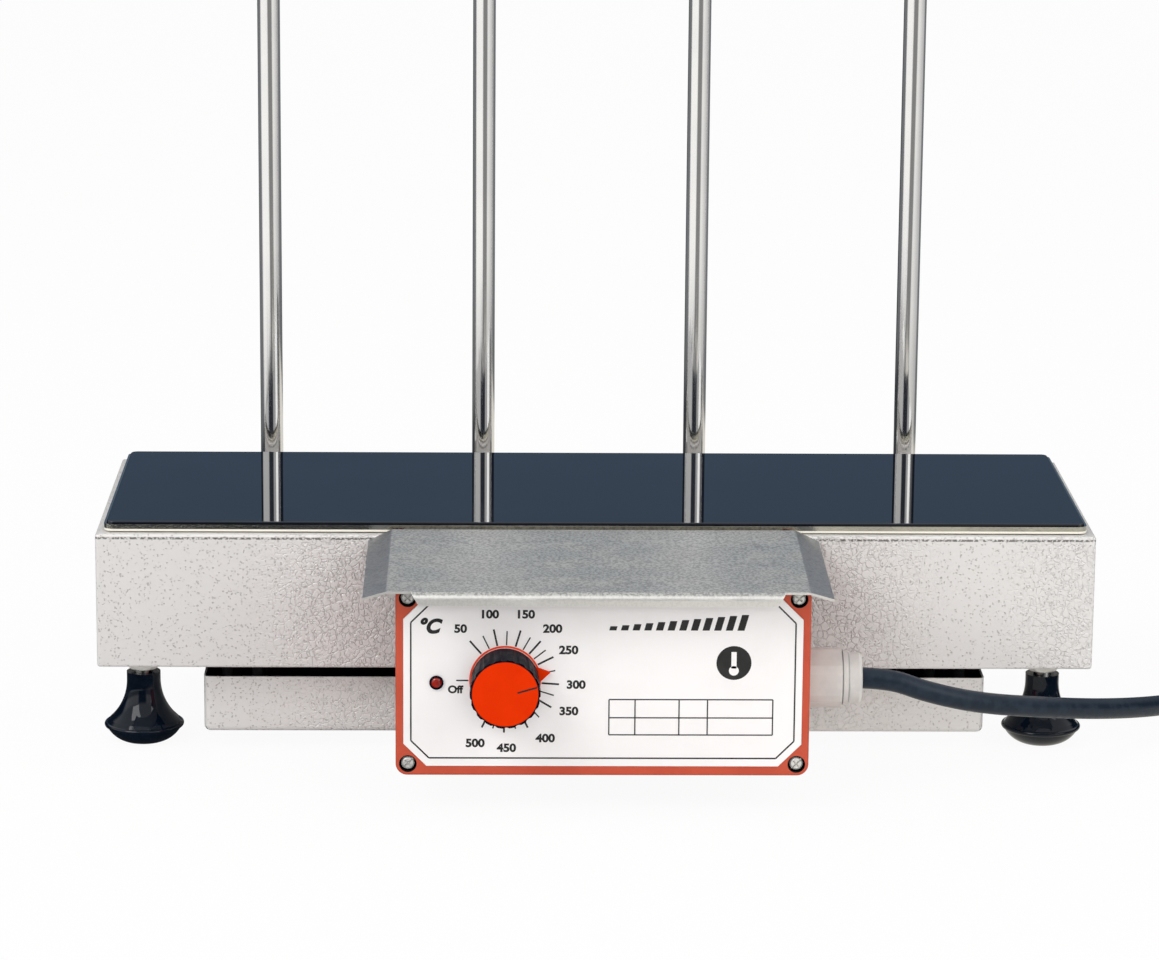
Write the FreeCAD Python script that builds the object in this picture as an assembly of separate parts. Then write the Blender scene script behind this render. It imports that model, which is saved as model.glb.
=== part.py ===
import FreeCAD, Part
import math
import os
from FreeCAD import Vector

# Ceramic hot plate for four vessels in a row, in millimetres.
# X runs along the plate, Y from the control box to the rods, Z up from the bench.
# While the pieces are built, Y = 0 is the middle of the glass plate.

# Levelling feet
foot_h = 31.4
foot_neck_r = 7.5
foot_neck_h = 3.8
foot_flare_r = 24.0
foot_rim_r = 17.7
foot_rim_z = 7.3
foot_rim_bead = 1.1
foot_rim_step = 1.4
foot_base_r = 9.5
foot_bowl_swell = 0.9
foot_inset_x = 18.0
foot_inset_front = 30.0
foot_inset_rear = 20.0
stud_r = 4.0
stud_sink = 18.0
stud_top_spare = 3.0
nut_gap = 1.7
nut_af = 13.0
nut_h = 6.5
washer_r = 8.0
washer_t = 1.6
insert_r = 6.5
insert_h = 11.0
thread_clear = 0.05

# Glass plate and the steel ring round it
glass_w = 428.6
glass_d = 138.6
glass_t = 3.0
glass_corner_r = 3.0
glass_edge_r = 0.6
glass_proud = 1.1
ring_clear = 0.2
ring_wall = 1.0
ring_h = 3.0
ring_ledge = 7.0
ring_ledge_t = 0.6
seal_w = 5.0
gasket_t = 0.6
gasket_inset = 1.5
gasket_w = 5.0

# Housing of folded sheet with its bottom cover
sheet_t = 1.0
housing_margin = 3.5
housing_h = 60.2
housing_edge_r = 2.5
housing_corner_r = 1.5
cover_clear = 6.0
service_margin_y = 20.0
cover_lap = 8.0
cover_screws_x = 4

# Lower tray and the standoffs that carry it
tray_inset_side = 45.75
tray_inset_front = 14.0
tray_clear = 2.3
tray_gap = 8.0
tray_h = 25.3
tray_edge_r = 3.0
standoff_r = 2.5
standoff_inset_x = (9.75, 23.25)
standoff_inset_y = 14.0

# Heat shield: one folded sheet
shield_x = -1.3
shield_rear_half = 88.3
shield_front_half = 88.3
shield_rear_up = 2.6
shield_beyond_box = 12.3
shield_drop = 4.0
shield_bend_r = 4.0
flap_out = 10.2
flap_down_rear = 5.0
flap_down_front = 2.9
lip_bend_r = 3.0
lip_half = 78.8
lip_taper = 3.9
lip_h = 5.5
shield_flange_half = 83.0
shield_flange_h = 21.0
shield_screw_x = 60.0
shield_screw_down = 14.0

# Control box
box_x = 1.2
box_w = 175.0
box_h = 82.6
box_depth = 57.0
box_lid_depth = 12.0
box_gap = 23.0
box_top_clear = 0.53
box_corner_r = 5.0
box_wall = 2.5
lid_face_t = 3.0
lid_edge_r = 1.2
boss_r = 4.4
lid_screw_inset = 5.2
lid_screw_r = 1.9
lid_screw_head_r = 2.9
lid_screw_head_h = 4.2
lid_bore_r = 3.7
lid_bore_depth = 5.0
slot_w = 0.7
slot_depth = 1.2
panel_side_margin = 3.25
panel_h = 74.0
panel_t = 0.8
panel_proud = 0.4
panel_chamfer = 9.7

# Rotary control, seen from the front
knob_x = -41.3
knob_up = 0.6
knob_turn_deg = 11.8
knob_len = 21.8
knob_clear = 0.5
knob_rear_r = 14.4
knob_front_r = 14.8
knob_flutes = 18
flute_r = 2.4
flute_depth = 0.5
cap_r = 13.9
cap_t = 1.6
cap_proud = 0.2
cap_clear = 0.1
cap_edge_r = 0.4
knob_web = 1.5
knob_socket = 7.0
knob_taper = 0.8
pointer_t = 1.2
pointer_r = 14.2
pointer_nose_r = 19.5
pointer_nose_half = 2.9
pointer_bore_r = 10.4
shaft_r = 3.0
shaft_fit = 0.05
shaft_grip = 0.02
shaft_end_gap = 0.5
shaft_reach = 15.0
regulator_bush_r = 5.0
regulator_bush_len = 7.0
regulator_size = 34.0
regulator_depth = 24.0
regulator_corner_r = 3.0
regulator_nut_af = 14.0
regulator_nut_h = 2.4

# Signal lamp
lamp_x = -70.2
lamp_up = -0.3
lamp_bezel_r = 3.0
lamp_barrel_r = 2.6
lamp_lens_r = 2.4
lamp_bezel_h = 0.8
lamp_len = 12.0

# Bracket, bush and leads between housing and box
bracket_w = 120.0
bracket_h = 34.0
bracket_t = 1.5
bracket_down = 22.0
bracket_screw_x = 48.0
bracket_screw_up = 8.0
bracket_screw_down = 10.0
bush_x = 28.0
bush_r = 8.0
bush_bore_r = 6.0
bush_collar_r = 10.5
bush_collar_t = 2.0
bush_spare = 3.0
lead_r = 1.6
lead_ring_r = 2.6
lead_end = 6.0
terminal_w = 26.0
terminal_d = 14.0
terminal_h = 22.0
terminal_back = 7.0

# Cable gland on the right side of the box
gland_down = 5.7
gland_back = 28.0
gland_af = 24.0
gland_clip_r = 12.9
gland_hex_len = 15.0
gland_groove_r = 10.4
gland_groove_len = 0.7
gland_ring_r = 11.8
gland_ring_len = 1.9
gland_nut_r = 10.8
gland_nut_len = 5.5
gland_nut_edge = 1.6
gland_nipple_r = 9.9
gland_nipple_len = 8.0
gland_locknut_af = 24.0
gland_locknut_h = 5.0
gland_seal_len = 8.0
gland_seal_wall = 2.0
gland_seal_squeeze = 1.0

# Mains cord
cord_r = 4.6
cord_clear = 0.2
cord_above_bench = 0.1
coil_mid_r = 47.5
coil_tie_t = 1.2
coil_tie_w = 12.0
coil_edge_r = 3.6
coil_entry = (296.0, 80.0)
tail_runs = (24.0, 50.0, 75.0)
tail_bends = (1.0, 7.0, 14.5)
tail_rise = 1.4
plug_r = 18.5
plug_len = 36.0
plug_sleeve_r = 7.0
plug_sleeve_len = 16.0
plug_pin_r = 2.4
plug_pin_len = 19.0
plug_pin_pitch = 19.0
plug_pin_seat = 8.0
plug_shoulder = 8.0
plug_waist = 3.0
plug_rim = 6.0

# Support rods behind the plate: each is screwed into a holder up to its shoulder
rod_r = 5.25
rod_len = 460.0
rod_count = 4
rod_inset = 69.0
rod_back = 22.0
rod_chamfer = 1.0
rod_thread_r = 4.0
rod_thread_len = 24.0
rod_shoulder_z = 88.0
holder_w = 28.0
holder_d = 34.0
holder_h = 36.0
holder_round = 9.0
holder_screw_len = 10.0

# Screws
screw_r = 2.0
screw_head_r = 3.7
screw_head_h = 2.4
screw_len = 6.0
head_edge = 0.6
head_edge_most = 0.48

# Heater under the glass
heater_side_gap = 3.0
heater_t = 28.0
heater_top_gap = 0.3
heater_rim = 12.0
heater_recess = 8.0
support_t = 1.0
support_foot = 14.0
support_leg_half = 30.0
ribbon_w = 3.0
ribbon_t = 1.2
ribbon_runs = 6
ribbon_end = 10.0
ribbon_side = 8.0
probe_r = 2.0
probe_below_glass = 4.0

# Heights that follow from the stack on each foot
nut_z = foot_h + nut_gap
washer_z = nut_z + nut_h
housing_z = washer_z + washer_t
housing_top = housing_z + housing_h
ring_z = housing_top + gasket_t
ring_top = ring_z + ring_h
glass_top = ring_top + glass_proud
glass_z = glass_top - glass_t
seal_z = ring_z + ring_ledge_t
tray_top = housing_z - tray_gap
tray_z = tray_top - tray_h
cover_z = housing_z - sheet_t

# Outlines that follow from the glass
ring_w = glass_w + 2 * (ring_clear + ring_wall)
ring_d = glass_d + 2 * (ring_clear + ring_wall)
ring_open_w = ring_w - 2 * (ring_wall + ring_ledge)
ring_open_d = ring_d - 2 * (ring_wall + ring_ledge)
housing_w = ring_w + 2 * housing_margin
housing_d = ring_d + 2 * housing_margin
front_y = -housing_d / 2
rear_y = housing_d / 2
rod_pitch = (housing_w - 2 * rod_inset) / (rod_count - 1)
rod_xs = [rod_pitch * (i - (rod_count - 1) / 2) for i in range(rod_count)]

# Feet: the front pair stands at the housing's ends and the rear pair under the outer rods.
foot_front_x = housing_w / 2 - foot_inset_x
foot_front_y = front_y + foot_inset_front
foot_rear_y = rear_y - foot_inset_rear
foot_places = {
    "front_left": (-foot_front_x, foot_front_y),
    "front_right": (foot_front_x, foot_front_y),
    "rear_left": (rod_xs[0], foot_rear_y),
    "rear_right": (rod_xs[-1], foot_rear_y),
}

# The bottom cover and the tray under it end in front of the rear feet.
cover_w = 2 * (foot_front_x - washer_r - cover_clear)
service_w = cover_w - 2 * cover_lap
service_front_y = front_y + service_margin_y
service_rear_y = foot_rear_y - washer_r - cover_clear - cover_lap
service_d = service_rear_y - service_front_y
service_mid_y = (service_front_y + service_rear_y) / 2
cover_d = service_d + 2 * cover_lap
tray_w = housing_w - 2 * tray_inset_side
tray_front_y = front_y + tray_inset_front
tray_rear_y = foot_rear_y - foot_rim_r - tray_clear
tray_d = tray_rear_y - tray_front_y
tray_mid_y = (tray_front_y + tray_rear_y) / 2

# Heights of the heat shield's top sheet, and the box that hangs under it
shield_rear_z = housing_top + shield_rear_up
shield_front_z = shield_rear_z - shield_drop
shield_screw_z = shield_rear_z - shield_screw_down
shield_run = box_gap + box_depth + shield_beyond_box
shield_over_box_z = shield_rear_z - shield_drop * (box_gap + box_depth) / shield_run - sheet_t
box_top_z = shield_over_box_z - box_top_clear
box_bottom_z = box_top_z - box_h
bracket_top_z = box_top_z - bracket_down

# Places that follow from the box
box_back = front_y - box_gap
box_front = box_back - box_depth
lid_back = box_front + box_lid_depth
panel_front = box_front - panel_proud
box_mid_z = box_bottom_z + box_h / 2
box_right = box_x + box_w / 2
panel_w = box_w - 2 * panel_side_margin
knob_axis_x = box_x + knob_x
knob_axis_z = box_mid_z + knob_up
knob_front = panel_front - knob_len
knob_rear = panel_front - knob_clear
cap_back = knob_front + cap_t
lamp_axis_x = box_x + lamp_x
lamp_axis_z = box_mid_z + lamp_up
gland_y = box_front + gland_back
gland_z = box_mid_z - gland_down
gland_hex_end = box_right + gland_hex_len
gland_nut_start = gland_hex_end + 2 * gland_groove_len + gland_ring_len
gland_end = gland_nut_start + gland_nut_len

# Rods
rod_y = rear_y + rod_back
rod_top_z = rod_shoulder_z + rod_len
holder_z = rod_shoulder_z - holder_h

# The finished part is shifted so that Y = 0 is the middle of its box without the cord.
holder_back = rear_y + holder_d
origin_y = (knob_front + holder_back) / 2

AXIS_X = Vector(1, 0, 0)
AXIS_Y = Vector(0, 1, 0)
AXIS_Z = Vector(0, 0, 1)

os.makedirs("parts", exist_ok=True)


def save(name, shape):
    placed = shape.copy()
    placed.translate(Vector(0, -origin_y, 0))
    placed.exportStep("parts/" + name + ".step")


def block(x0, x1, y0, y1, z0, z1):
    return Part.makeBox(x1 - x0, y1 - y0, z1 - z0, Vector(x0, y0, z0))


def cylinder(r, length, start, axis):
    return Part.makeCylinder(r, length, start, axis)


def line_edges(shape, axis):
    """The straight edges that run along an axis."""
    found = []
    for edge in shape.Edges:
        if isinstance(edge.Curve, Part.Line) and abs(edge.tangentAt(0).dot(axis)) > 0.999:
            found.append(edge)
    return found


def plate(w, d, t, z, corner_r, y=0.0):
    """A flat plate with rounded upright corners, its middle on X = 0."""
    flat = block(-w / 2, w / 2, y - d / 2, y + d / 2, z, z + t)
    return flat.makeFillet(corner_r, line_edges(flat, AXIS_Z))


def top_edges(shape, z):
    return [e for e in shape.Edges if abs(e.BoundBox.ZMin - z) < 1e-6 and abs(e.BoundBox.ZMax - z) < 1e-6]


def hexagon(across_flats, h, start, axis):
    """A hexagonal prism whose foot is at start, along any axis."""
    r = across_flats / math.sqrt(3)
    corners = [Vector(r * math.cos(a), r * math.sin(a), 0) for a in [math.radians(60 * i) for i in range(7)]]
    prism = Part.Face(Part.makePolygon(corners)).extrude(Vector(0, 0, h))
    prism.Placement = FreeCAD.Placement(start, FreeCAD.Rotation(AXIS_Z, axis))
    return prism


def turned(points, start, axis):
    """Revolve a half profile of (radius, height) points, then lay it along an axis."""
    outline = Part.makePolygon([Vector(r, 0, h) for r, h in points + points[:1]])
    solid = Part.Face(outline).revolve(Vector(0, 0, 0), AXIS_Z, 360)
    solid.Placement = FreeCAD.Placement(start, FreeCAD.Rotation(AXIS_Z, axis))
    return solid


def pan_screw(seat, axis, shank, r=screw_r, head_r=screw_head_r, head_h=screw_head_h):
    """A round-headed screw: the head stands on the seat and the shank runs along the axis."""
    head = cylinder(head_r, head_h, seat, axis * -1)
    rim = [e for e in head.Edges if isinstance(e.Curve, Part.Circle)]
    rim = [e for e in rim if (e.Curve.Center - seat).Length > head_h / 2]
    head = head.makeFillet(min(head_edge * head_h, head_edge_most * head_r), rim)
    return head.fuse(cylinder(r - thread_clear, shank, seat, axis)).removeSplitter()


def glass_plate():
    glass = plate(glass_w, glass_d, glass_t, glass_z, glass_corner_r)
    return glass.makeFillet(glass_edge_r, top_edges(glass, glass_top))


def trim_ring():
    outer_r = glass_corner_r + ring_clear + ring_wall
    ring = plate(ring_w, ring_d, ring_h, ring_z, outer_r)
    pocket = plate(ring_w - 2 * ring_wall, ring_d - 2 * ring_wall, ring_h, seal_z, outer_r - ring_wall)
    opening = plate(ring_open_w, ring_open_d, ring_h, ring_z, outer_r)
    return ring.cut(pocket).cut(opening)


def glass_seal():
    h = glass_z - seal_z
    outer = plate(ring_open_w + 2 * seal_w, ring_open_d + 2 * seal_w, h, seal_z, glass_corner_r)
    return outer.cut(plate(ring_open_w, ring_open_d, h, seal_z, glass_corner_r))


def housing_gasket():
    w = ring_w - 2 * gasket_inset
    d = ring_d - 2 * gasket_inset
    outer = plate(w, d, gasket_t, housing_top, glass_corner_r)
    return outer.cut(plate(w - 2 * gasket_w, d - 2 * gasket_w, gasket_t, housing_top, glass_corner_r))


def rounded_case(w, d, h, z, corner_r, edge_r):
    case = plate(w, d, h, z, corner_r)
    case = case.makeFillet(edge_r, top_edges(case, z + h) + top_edges(case, z))
    return case


def housing():
    case = rounded_case(housing_w, housing_d, housing_h, housing_z, housing_corner_r, housing_edge_r / 2)
    hollow = plate(housing_w - 2 * sheet_t, housing_d - 2 * sheet_t, housing_h - 2 * sheet_t,
                   housing_z + sheet_t, housing_corner_r / 2)
    case = case.cut(hollow)
    case = case.cut(plate(ring_open_w, ring_open_d, 3 * sheet_t, housing_top - 2 * sheet_t, glass_corner_r))
    service = plate(service_w, service_d, 3 * sheet_t, housing_z - sheet_t, glass_corner_r, service_mid_y)
    case = case.cut(service)
    for x, y in foot_places.values():
        start = Vector(x, y, housing_z - sheet_t)
        case = case.cut(cylinder(stud_r + thread_clear, 3 * sheet_t, start, AXIS_Z))
    for x, y in cover_screw_places():
        case = case.cut(cylinder(screw_r, 3 * sheet_t, Vector(x, y, housing_z - sheet_t), AXIS_Z))
    for x, z in front_wall_holes():
        case = case.cut(cylinder(screw_r, 3 * sheet_t, Vector(x, front_y - sheet_t, z), AXIS_Y))
    start = Vector(box_x + bush_x, front_y - sheet_t, box_mid_z)
    case = case.cut(cylinder(bush_r, 3 * sheet_t, start, AXIS_Y))
    for x, z in holder_screw_places():
        case = case.cut(cylinder(screw_r, 3 * sheet_t, Vector(x, rear_y - 2 * sheet_t, z), AXIS_Y))
    return case


def cover_screw_places():
    places = []
    for i in range(cover_screws_x):
        x = (i / (cover_screws_x - 1) - 0.5) * (cover_w - cover_lap)
        places += [(x, service_front_y - cover_lap / 2), (x, service_rear_y + cover_lap / 2)]
    return places


def bracket_screw_zs():
    return (bracket_top_z - bracket_h + bracket_screw_up, bracket_top_z - bracket_screw_down)


def front_wall_holes():
    """Screw holes in the front wall: the bracket's four and the heat shield's two."""
    holes = [(box_x + sx * bracket_screw_x, z) for sx in (-1, 1) for z in bracket_screw_zs()]
    return holes + [(x, shield_screw_z) for x in shield_screw_xs()]


def shield_screw_xs():
    return (shield_x - shield_screw_x, shield_x + shield_screw_x)


def holder_screw_places():
    return [(x, holder_z + holder_h / 2 + s * holder_h / 4) for x in rod_xs for s in (-1, 1)]


def bottom_cover():
    cover = plate(cover_w, cover_d, sheet_t, cover_z, glass_corner_r, service_mid_y)
    for x, y in cover_screw_places():
        cover = cover.cut(cylinder(screw_r, 3 * sheet_t, Vector(x, y, cover_z - sheet_t), AXIS_Z))
    return cover


def panel_screws():
    """One size of screw holds the bottom cover, the heat shield and both legs of the bracket."""
    seats = [(Vector(x, y, cover_z), AXIS_Z) for x, y in cover_screw_places()]
    seats += [(Vector(x, front_y - sheet_t, shield_screw_z), AXIS_Y) for x in shield_screw_xs()]
    for sx in (-1, 1):
        for z in bracket_screw_zs():
            x = box_x + sx * bracket_screw_x
            seats.append((Vector(x, front_y - bracket_t, z), AXIS_Y))
            seats.append((Vector(x, box_back + bracket_t, z), AXIS_Y * -1))
    return Part.makeCompound([pan_screw(seat, axis, screw_len) for seat, axis in seats])


def standoff_places():
    xs = [s * (tray_w / 2 - inset) for inset in standoff_inset_x for s in (-1, 1)]
    return [(x, y) for x in xs for y in (tray_front_y + standoff_inset_y, tray_rear_y - standoff_inset_y)]


def lower_tray():
    tray = plate(tray_w, tray_d, tray_h, tray_z, tray_edge_r, tray_mid_y)
    tray = tray.makeFillet(tray_edge_r - 0.5, top_edges(tray, tray_z))
    inner = plate(tray_w - 2 * sheet_t, tray_d - 2 * sheet_t, tray_h, tray_z + sheet_t,
                  tray_edge_r - sheet_t, tray_mid_y)
    tray = tray.cut(inner)
    for x, y in standoff_places():
        start = Vector(x, y, tray_z - sheet_t)
        tray = tray.cut(cylinder(screw_r / 2 + thread_clear, 3 * sheet_t, start, AXIS_Z))
    return tray


def tray_standoffs():
    floor_z = tray_z + sheet_t
    posts = []
    for x, y in standoff_places():
        post = cylinder(standoff_r, cover_z - floor_z, Vector(x, y, floor_z), AXIS_Z)
        posts.append(post.cut(cylinder(screw_r / 2, 4 * sheet_t, Vector(x, y, floor_z), AXIS_Z)))
    return Part.makeCompound(posts)


def tray_screws():
    small = screw_r / 2
    seats = [Vector(x, y, tray_z) for x, y in standoff_places()]
    return Part.makeCompound([pan_screw(s, AXIS_Z, 4 * sheet_t, small, 2 * small, small) for s in seats])


def foot_pad(x, y):
    """A turned trumpet: straight neck, hollow flare, beaded rim and a bowl down to the base."""
    neck_z = foot_h - foot_neck_h
    end_z = foot_rim_z + foot_rim_bead + foot_rim_step
    flare_x = foot_neck_r + foot_flare_r
    end_r = flare_x - math.sqrt(foot_flare_r ** 2 - (neck_z - end_z) ** 2)
    half_turn = 0.5 * math.asin((neck_z - end_z) / foot_flare_r)
    flare_mid = Vector(flare_x - foot_flare_r * math.cos(half_turn), 0,
                       neck_z - foot_flare_r * math.sin(half_turn))
    bead_top = Vector(foot_rim_r - foot_rim_bead, 0, foot_rim_z + foot_rim_bead)
    bead_out = Vector(foot_rim_r, 0, foot_rim_z)
    bead_low = Vector(foot_rim_r - foot_rim_bead, 0, foot_rim_z - foot_rim_bead)
    base = Vector(foot_base_r, 0, 0)
    chord = base - bead_low
    outward = Vector(-chord.z, 0, chord.x).normalize()
    bowl_mid = (bead_low + base) * 0.5 + outward * foot_bowl_swell
    neck_top = Vector(foot_neck_r, 0, foot_h)
    neck_low = Vector(foot_neck_r, 0, neck_z)
    flare_end = Vector(end_r, 0, end_z)
    outline = [
        Part.LineSegment(Vector(0, 0, 0), Vector(0, 0, foot_h)).toShape(),
        Part.LineSegment(Vector(0, 0, foot_h), neck_top).toShape(),
        Part.LineSegment(neck_top, neck_low).toShape(),
        Part.Arc(neck_low, flare_mid, flare_end).toShape(),
        Part.LineSegment(flare_end, bead_top).toShape(),
        Part.Arc(bead_top, bead_out, bead_low).toShape(),
        Part.Arc(bead_low, bowl_mid, base).toShape(),
        Part.LineSegment(base, Vector(0, 0, 0)).toShape(),
    ]
    pad = Part.Face(Part.Wire(outline)).revolve(Vector(0, 0, 0), AXIS_Z, 360)
    pad = pad.cut(cylinder(stud_r, stud_sink, Vector(0, 0, foot_h - stud_sink), AXIS_Z))
    pad.translate(Vector(x, y, 0))
    return pad


def foot_stud(x, y):
    bottom = foot_h - stud_sink
    top = housing_z + sheet_t + insert_h + stud_top_spare
    rod = cylinder(stud_r, top - bottom, Vector(x, y, bottom), AXIS_Z)
    return rod.makeChamfer(0.8, top_edges(rod, top))


def foot_nuts():
    nuts = []
    for x, y in foot_places.values():
        nut = hexagon(nut_af, nut_h, Vector(x, y, nut_z), AXIS_Z)
        cone_r = nut_af * 0.5 / math.cos(math.radians(30)) + 0.1
        bevel = Part.makeCone(nut_af * 0.48, cone_r, nut_h * 0.16, Vector(x, y, nut_z), AXIS_Z)
        rest = cylinder(cone_r, nut_h * 0.84, Vector(x, y, nut_z + nut_h * 0.16), AXIS_Z)
        nut = nut.common(bevel.fuse(rest))
        nuts.append(nut.cut(cylinder(stud_r + thread_clear, nut_h, Vector(x, y, nut_z), AXIS_Z)))
    return Part.makeCompound(nuts)


def foot_washers():
    rings = []
    for x, y in foot_places.values():
        ring = cylinder(washer_r, washer_t, Vector(x, y, washer_z), AXIS_Z)
        rings.append(ring.cut(cylinder(stud_r + thread_clear, washer_t, Vector(x, y, washer_z), AXIS_Z)))
    return Part.makeCompound(rings)


def foot_inserts():
    z = housing_z + sheet_t
    inserts = []
    for x, y in foot_places.values():
        body = cylinder(insert_r, insert_h, Vector(x, y, z), AXIS_Z)
        inserts.append(body.cut(cylinder(stud_r + thread_clear, insert_h, Vector(x, y, z), AXIS_Z)))
    return Part.makeCompound(inserts)


def shield_section(y, half, flap_down, z_top):
    """The sheet's closed cross-section at one depth: a flat top with two flaps bent down."""
    dz = sheet_t / math.cos(math.atan(flap_down / flap_out))
    top = [(-half - flap_out, -flap_down), (-half, 0), (half, 0), (half + flap_out, -flap_down)]
    low = [(x, z - (sheet_t if abs(x) < half + 1 else dz)) for x, z in reversed(top)]
    return Part.makePolygon([Vector(x, y, z_top + z) for x, z in top + low + top[:1]])


def heat_shield():
    rear_z = shield_rear_z
    front_z = shield_front_z
    fold_y = front_y - shield_run
    rear = shield_section(front_y, shield_rear_half, flap_down_rear, rear_z)
    front = shield_section(fold_y, shield_front_half, flap_down_front, front_z)
    top = Part.makeLoft([rear, front], True, True)
    bends = []
    for edge in top.Edges:
        lo = edge.BoundBox
        if lo.YLength > shield_run * 0.9 and abs(abs(edge.CenterOfMass.x) - shield_rear_half) < 2:
            bends.append(edge)
    high = [e for e in bends if e.CenterOfMass.z > (rear_z + front_z) / 2 - sheet_t / 2]
    low = [e for e in bends if e not in high]
    top = top.makeFillet(shield_bend_r, high)
    low_mid = [(e.CenterOfMass.x, e.CenterOfMass.z) for e in low]
    again = [e for e in top.Edges if e.BoundBox.YLength > shield_run * 0.9
             and any(abs(e.CenterOfMass.x - x) < 0.2 and abs(e.CenterOfMass.z - z) < 0.2 for x, z in low_mid)]
    top = top.makeFillet(shield_bend_r - sheet_t, again)

    # Front lip: the sheet turns down over a rounded fold, with its ends cut back aslant.
    r = lip_bend_r
    inner = r - sheet_t
    cz = front_z - r
    s = math.sqrt(0.5)
    lip = [
        Part.LineSegment(Vector(0, fold_y, front_z - sheet_t), Vector(0, fold_y, front_z)).toShape(),
        Part.Arc(Vector(0, fold_y, front_z), Vector(0, fold_y - r * s, cz + r * s),
                 Vector(0, fold_y - r, cz)).toShape(),
        Part.LineSegment(Vector(0, fold_y - r, cz), Vector(0, fold_y - r, front_z - lip_h)).toShape(),
        Part.LineSegment(Vector(0, fold_y - r, front_z - lip_h),
                         Vector(0, fold_y - inner, front_z - lip_h)).toShape(),
        Part.LineSegment(Vector(0, fold_y - inner, front_z - lip_h), Vector(0, fold_y - inner, cz)).toShape(),
        Part.Arc(Vector(0, fold_y - inner, cz), Vector(0, fold_y - inner * s, cz + inner * s),
                 Vector(0, fold_y, front_z - sheet_t)).toShape(),
    ]
    bar = Part.Face(Part.Wire(lip)).extrude(Vector(2 * lip_half, 0, 0))
    bar.translate(Vector(-lip_half, 0, 0))
    trim = Part.makePolygon([
        Vector(-lip_half, fold_y + 1, front_z + 1), Vector(lip_half, fold_y + 1, front_z + 1),
        Vector(lip_half - lip_taper, fold_y + 1, front_z - lip_h),
        Vector(-lip_half + lip_taper, fold_y + 1, front_z - lip_h),
        Vector(-lip_half, fold_y + 1, front_z + 1)])
    bar = bar.common(Part.Face(trim).extrude(Vector(0, -2 * r - 2, 0)))

    # Rear flange: hangs down in front of the housing and takes two screws.
    flange = block(-shield_flange_half, shield_flange_half, front_y - sheet_t, front_y,
                   rear_z - shield_flange_h, rear_z - sheet_t / 2)
    sheet = top.fuse([bar, flange]).removeSplitter()
    sheet.translate(Vector(shield_x, 0, 0))
    for x in shield_screw_xs():
        start = Vector(x, front_y - 2 * sheet_t, shield_screw_z)
        sheet = sheet.cut(cylinder(screw_r, 3 * sheet_t, start, AXIS_Y))
    return sheet


def box_bracket():
    """An upside-down channel: one leg on the housing, one on the box, joined at the top."""
    x0 = box_x - bracket_w / 2
    x1 = box_x + bracket_w / 2
    low = bracket_top_z - bracket_h
    channel = block(x0, x1, box_back, front_y, low, bracket_top_z)
    channel = channel.cut(block(x0, x1, box_back + bracket_t, front_y - bracket_t, low,
                                bracket_top_z - bracket_t))
    start = Vector(box_x + bush_x, box_back - 1, box_mid_z)
    channel = channel.cut(cylinder(bush_r, box_gap + 2, start, AXIS_Y))
    for sx in (-1, 1):
        for z in bracket_screw_zs():
            start = Vector(box_x + sx * bracket_screw_x, box_back - 1, z)
            channel = channel.cut(cylinder(screw_r, box_gap + 2, start, AXIS_Y))
    return channel


def cable_bush():
    collar_y = box_back - box_wall
    end_y = front_y + sheet_t + bush_spare
    x = box_x + bush_x
    r = bush_r - thread_clear
    tube = cylinder(r, end_y - collar_y, Vector(x, collar_y, box_mid_z), AXIS_Y)
    tube = tube.fuse(cylinder(bush_collar_r, bush_collar_t, Vector(x, collar_y, box_mid_z), AXIS_Y * -1))
    bore = cylinder(bush_bore_r, end_y - collar_y + 2 * bush_collar_t,
                    Vector(x, collar_y - bush_collar_t, box_mid_z), AXIS_Y)
    return tube.cut(bore).removeSplitter()


def lead_places():
    """X and Z of the three leads, set round the middle of the bush."""
    turns = [math.radians(120 * i + 90) for i in range(3)]
    x = box_x + bush_x
    return [(x + lead_ring_r * math.cos(a), box_mid_z + lead_ring_r * math.sin(a)) for a in turns]


def lead_loom():
    """Three insulated leads from inside the box through the bush to the heater's terminal block."""
    start_y = box_back - box_wall - 2 * lead_end
    end_y = front_y + terminal_back + lead_end
    leads = [cylinder(lead_r, end_y - start_y, Vector(x, start_y, z), AXIS_Y) for x, z in lead_places()]
    return Part.makeCompound(leads)


def upright_case(y0, y1):
    """The control box's rounded outline between two depths."""
    case = block(box_x - box_w / 2, box_x + box_w / 2, y0, y1, box_bottom_z, box_bottom_z + box_h)
    return case.makeFillet(box_corner_r, line_edges(case, AXIS_Y))


def upright_hollow(y0, y1):
    w = box_w / 2 - box_wall
    hollow = block(box_x - w, box_x + w, y0, y1, box_bottom_z + box_wall, box_bottom_z + box_h - box_wall)
    return hollow.makeFillet(box_corner_r - box_wall, line_edges(hollow, AXIS_Y))


def lid_screw_places():
    dx = box_w / 2 - lid_screw_inset
    dz = box_h / 2 - lid_screw_inset
    return [(box_x + sx * dx, box_mid_z + sz * dz) for sx in (-1, 1) for sz in (-1, 1)]


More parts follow.
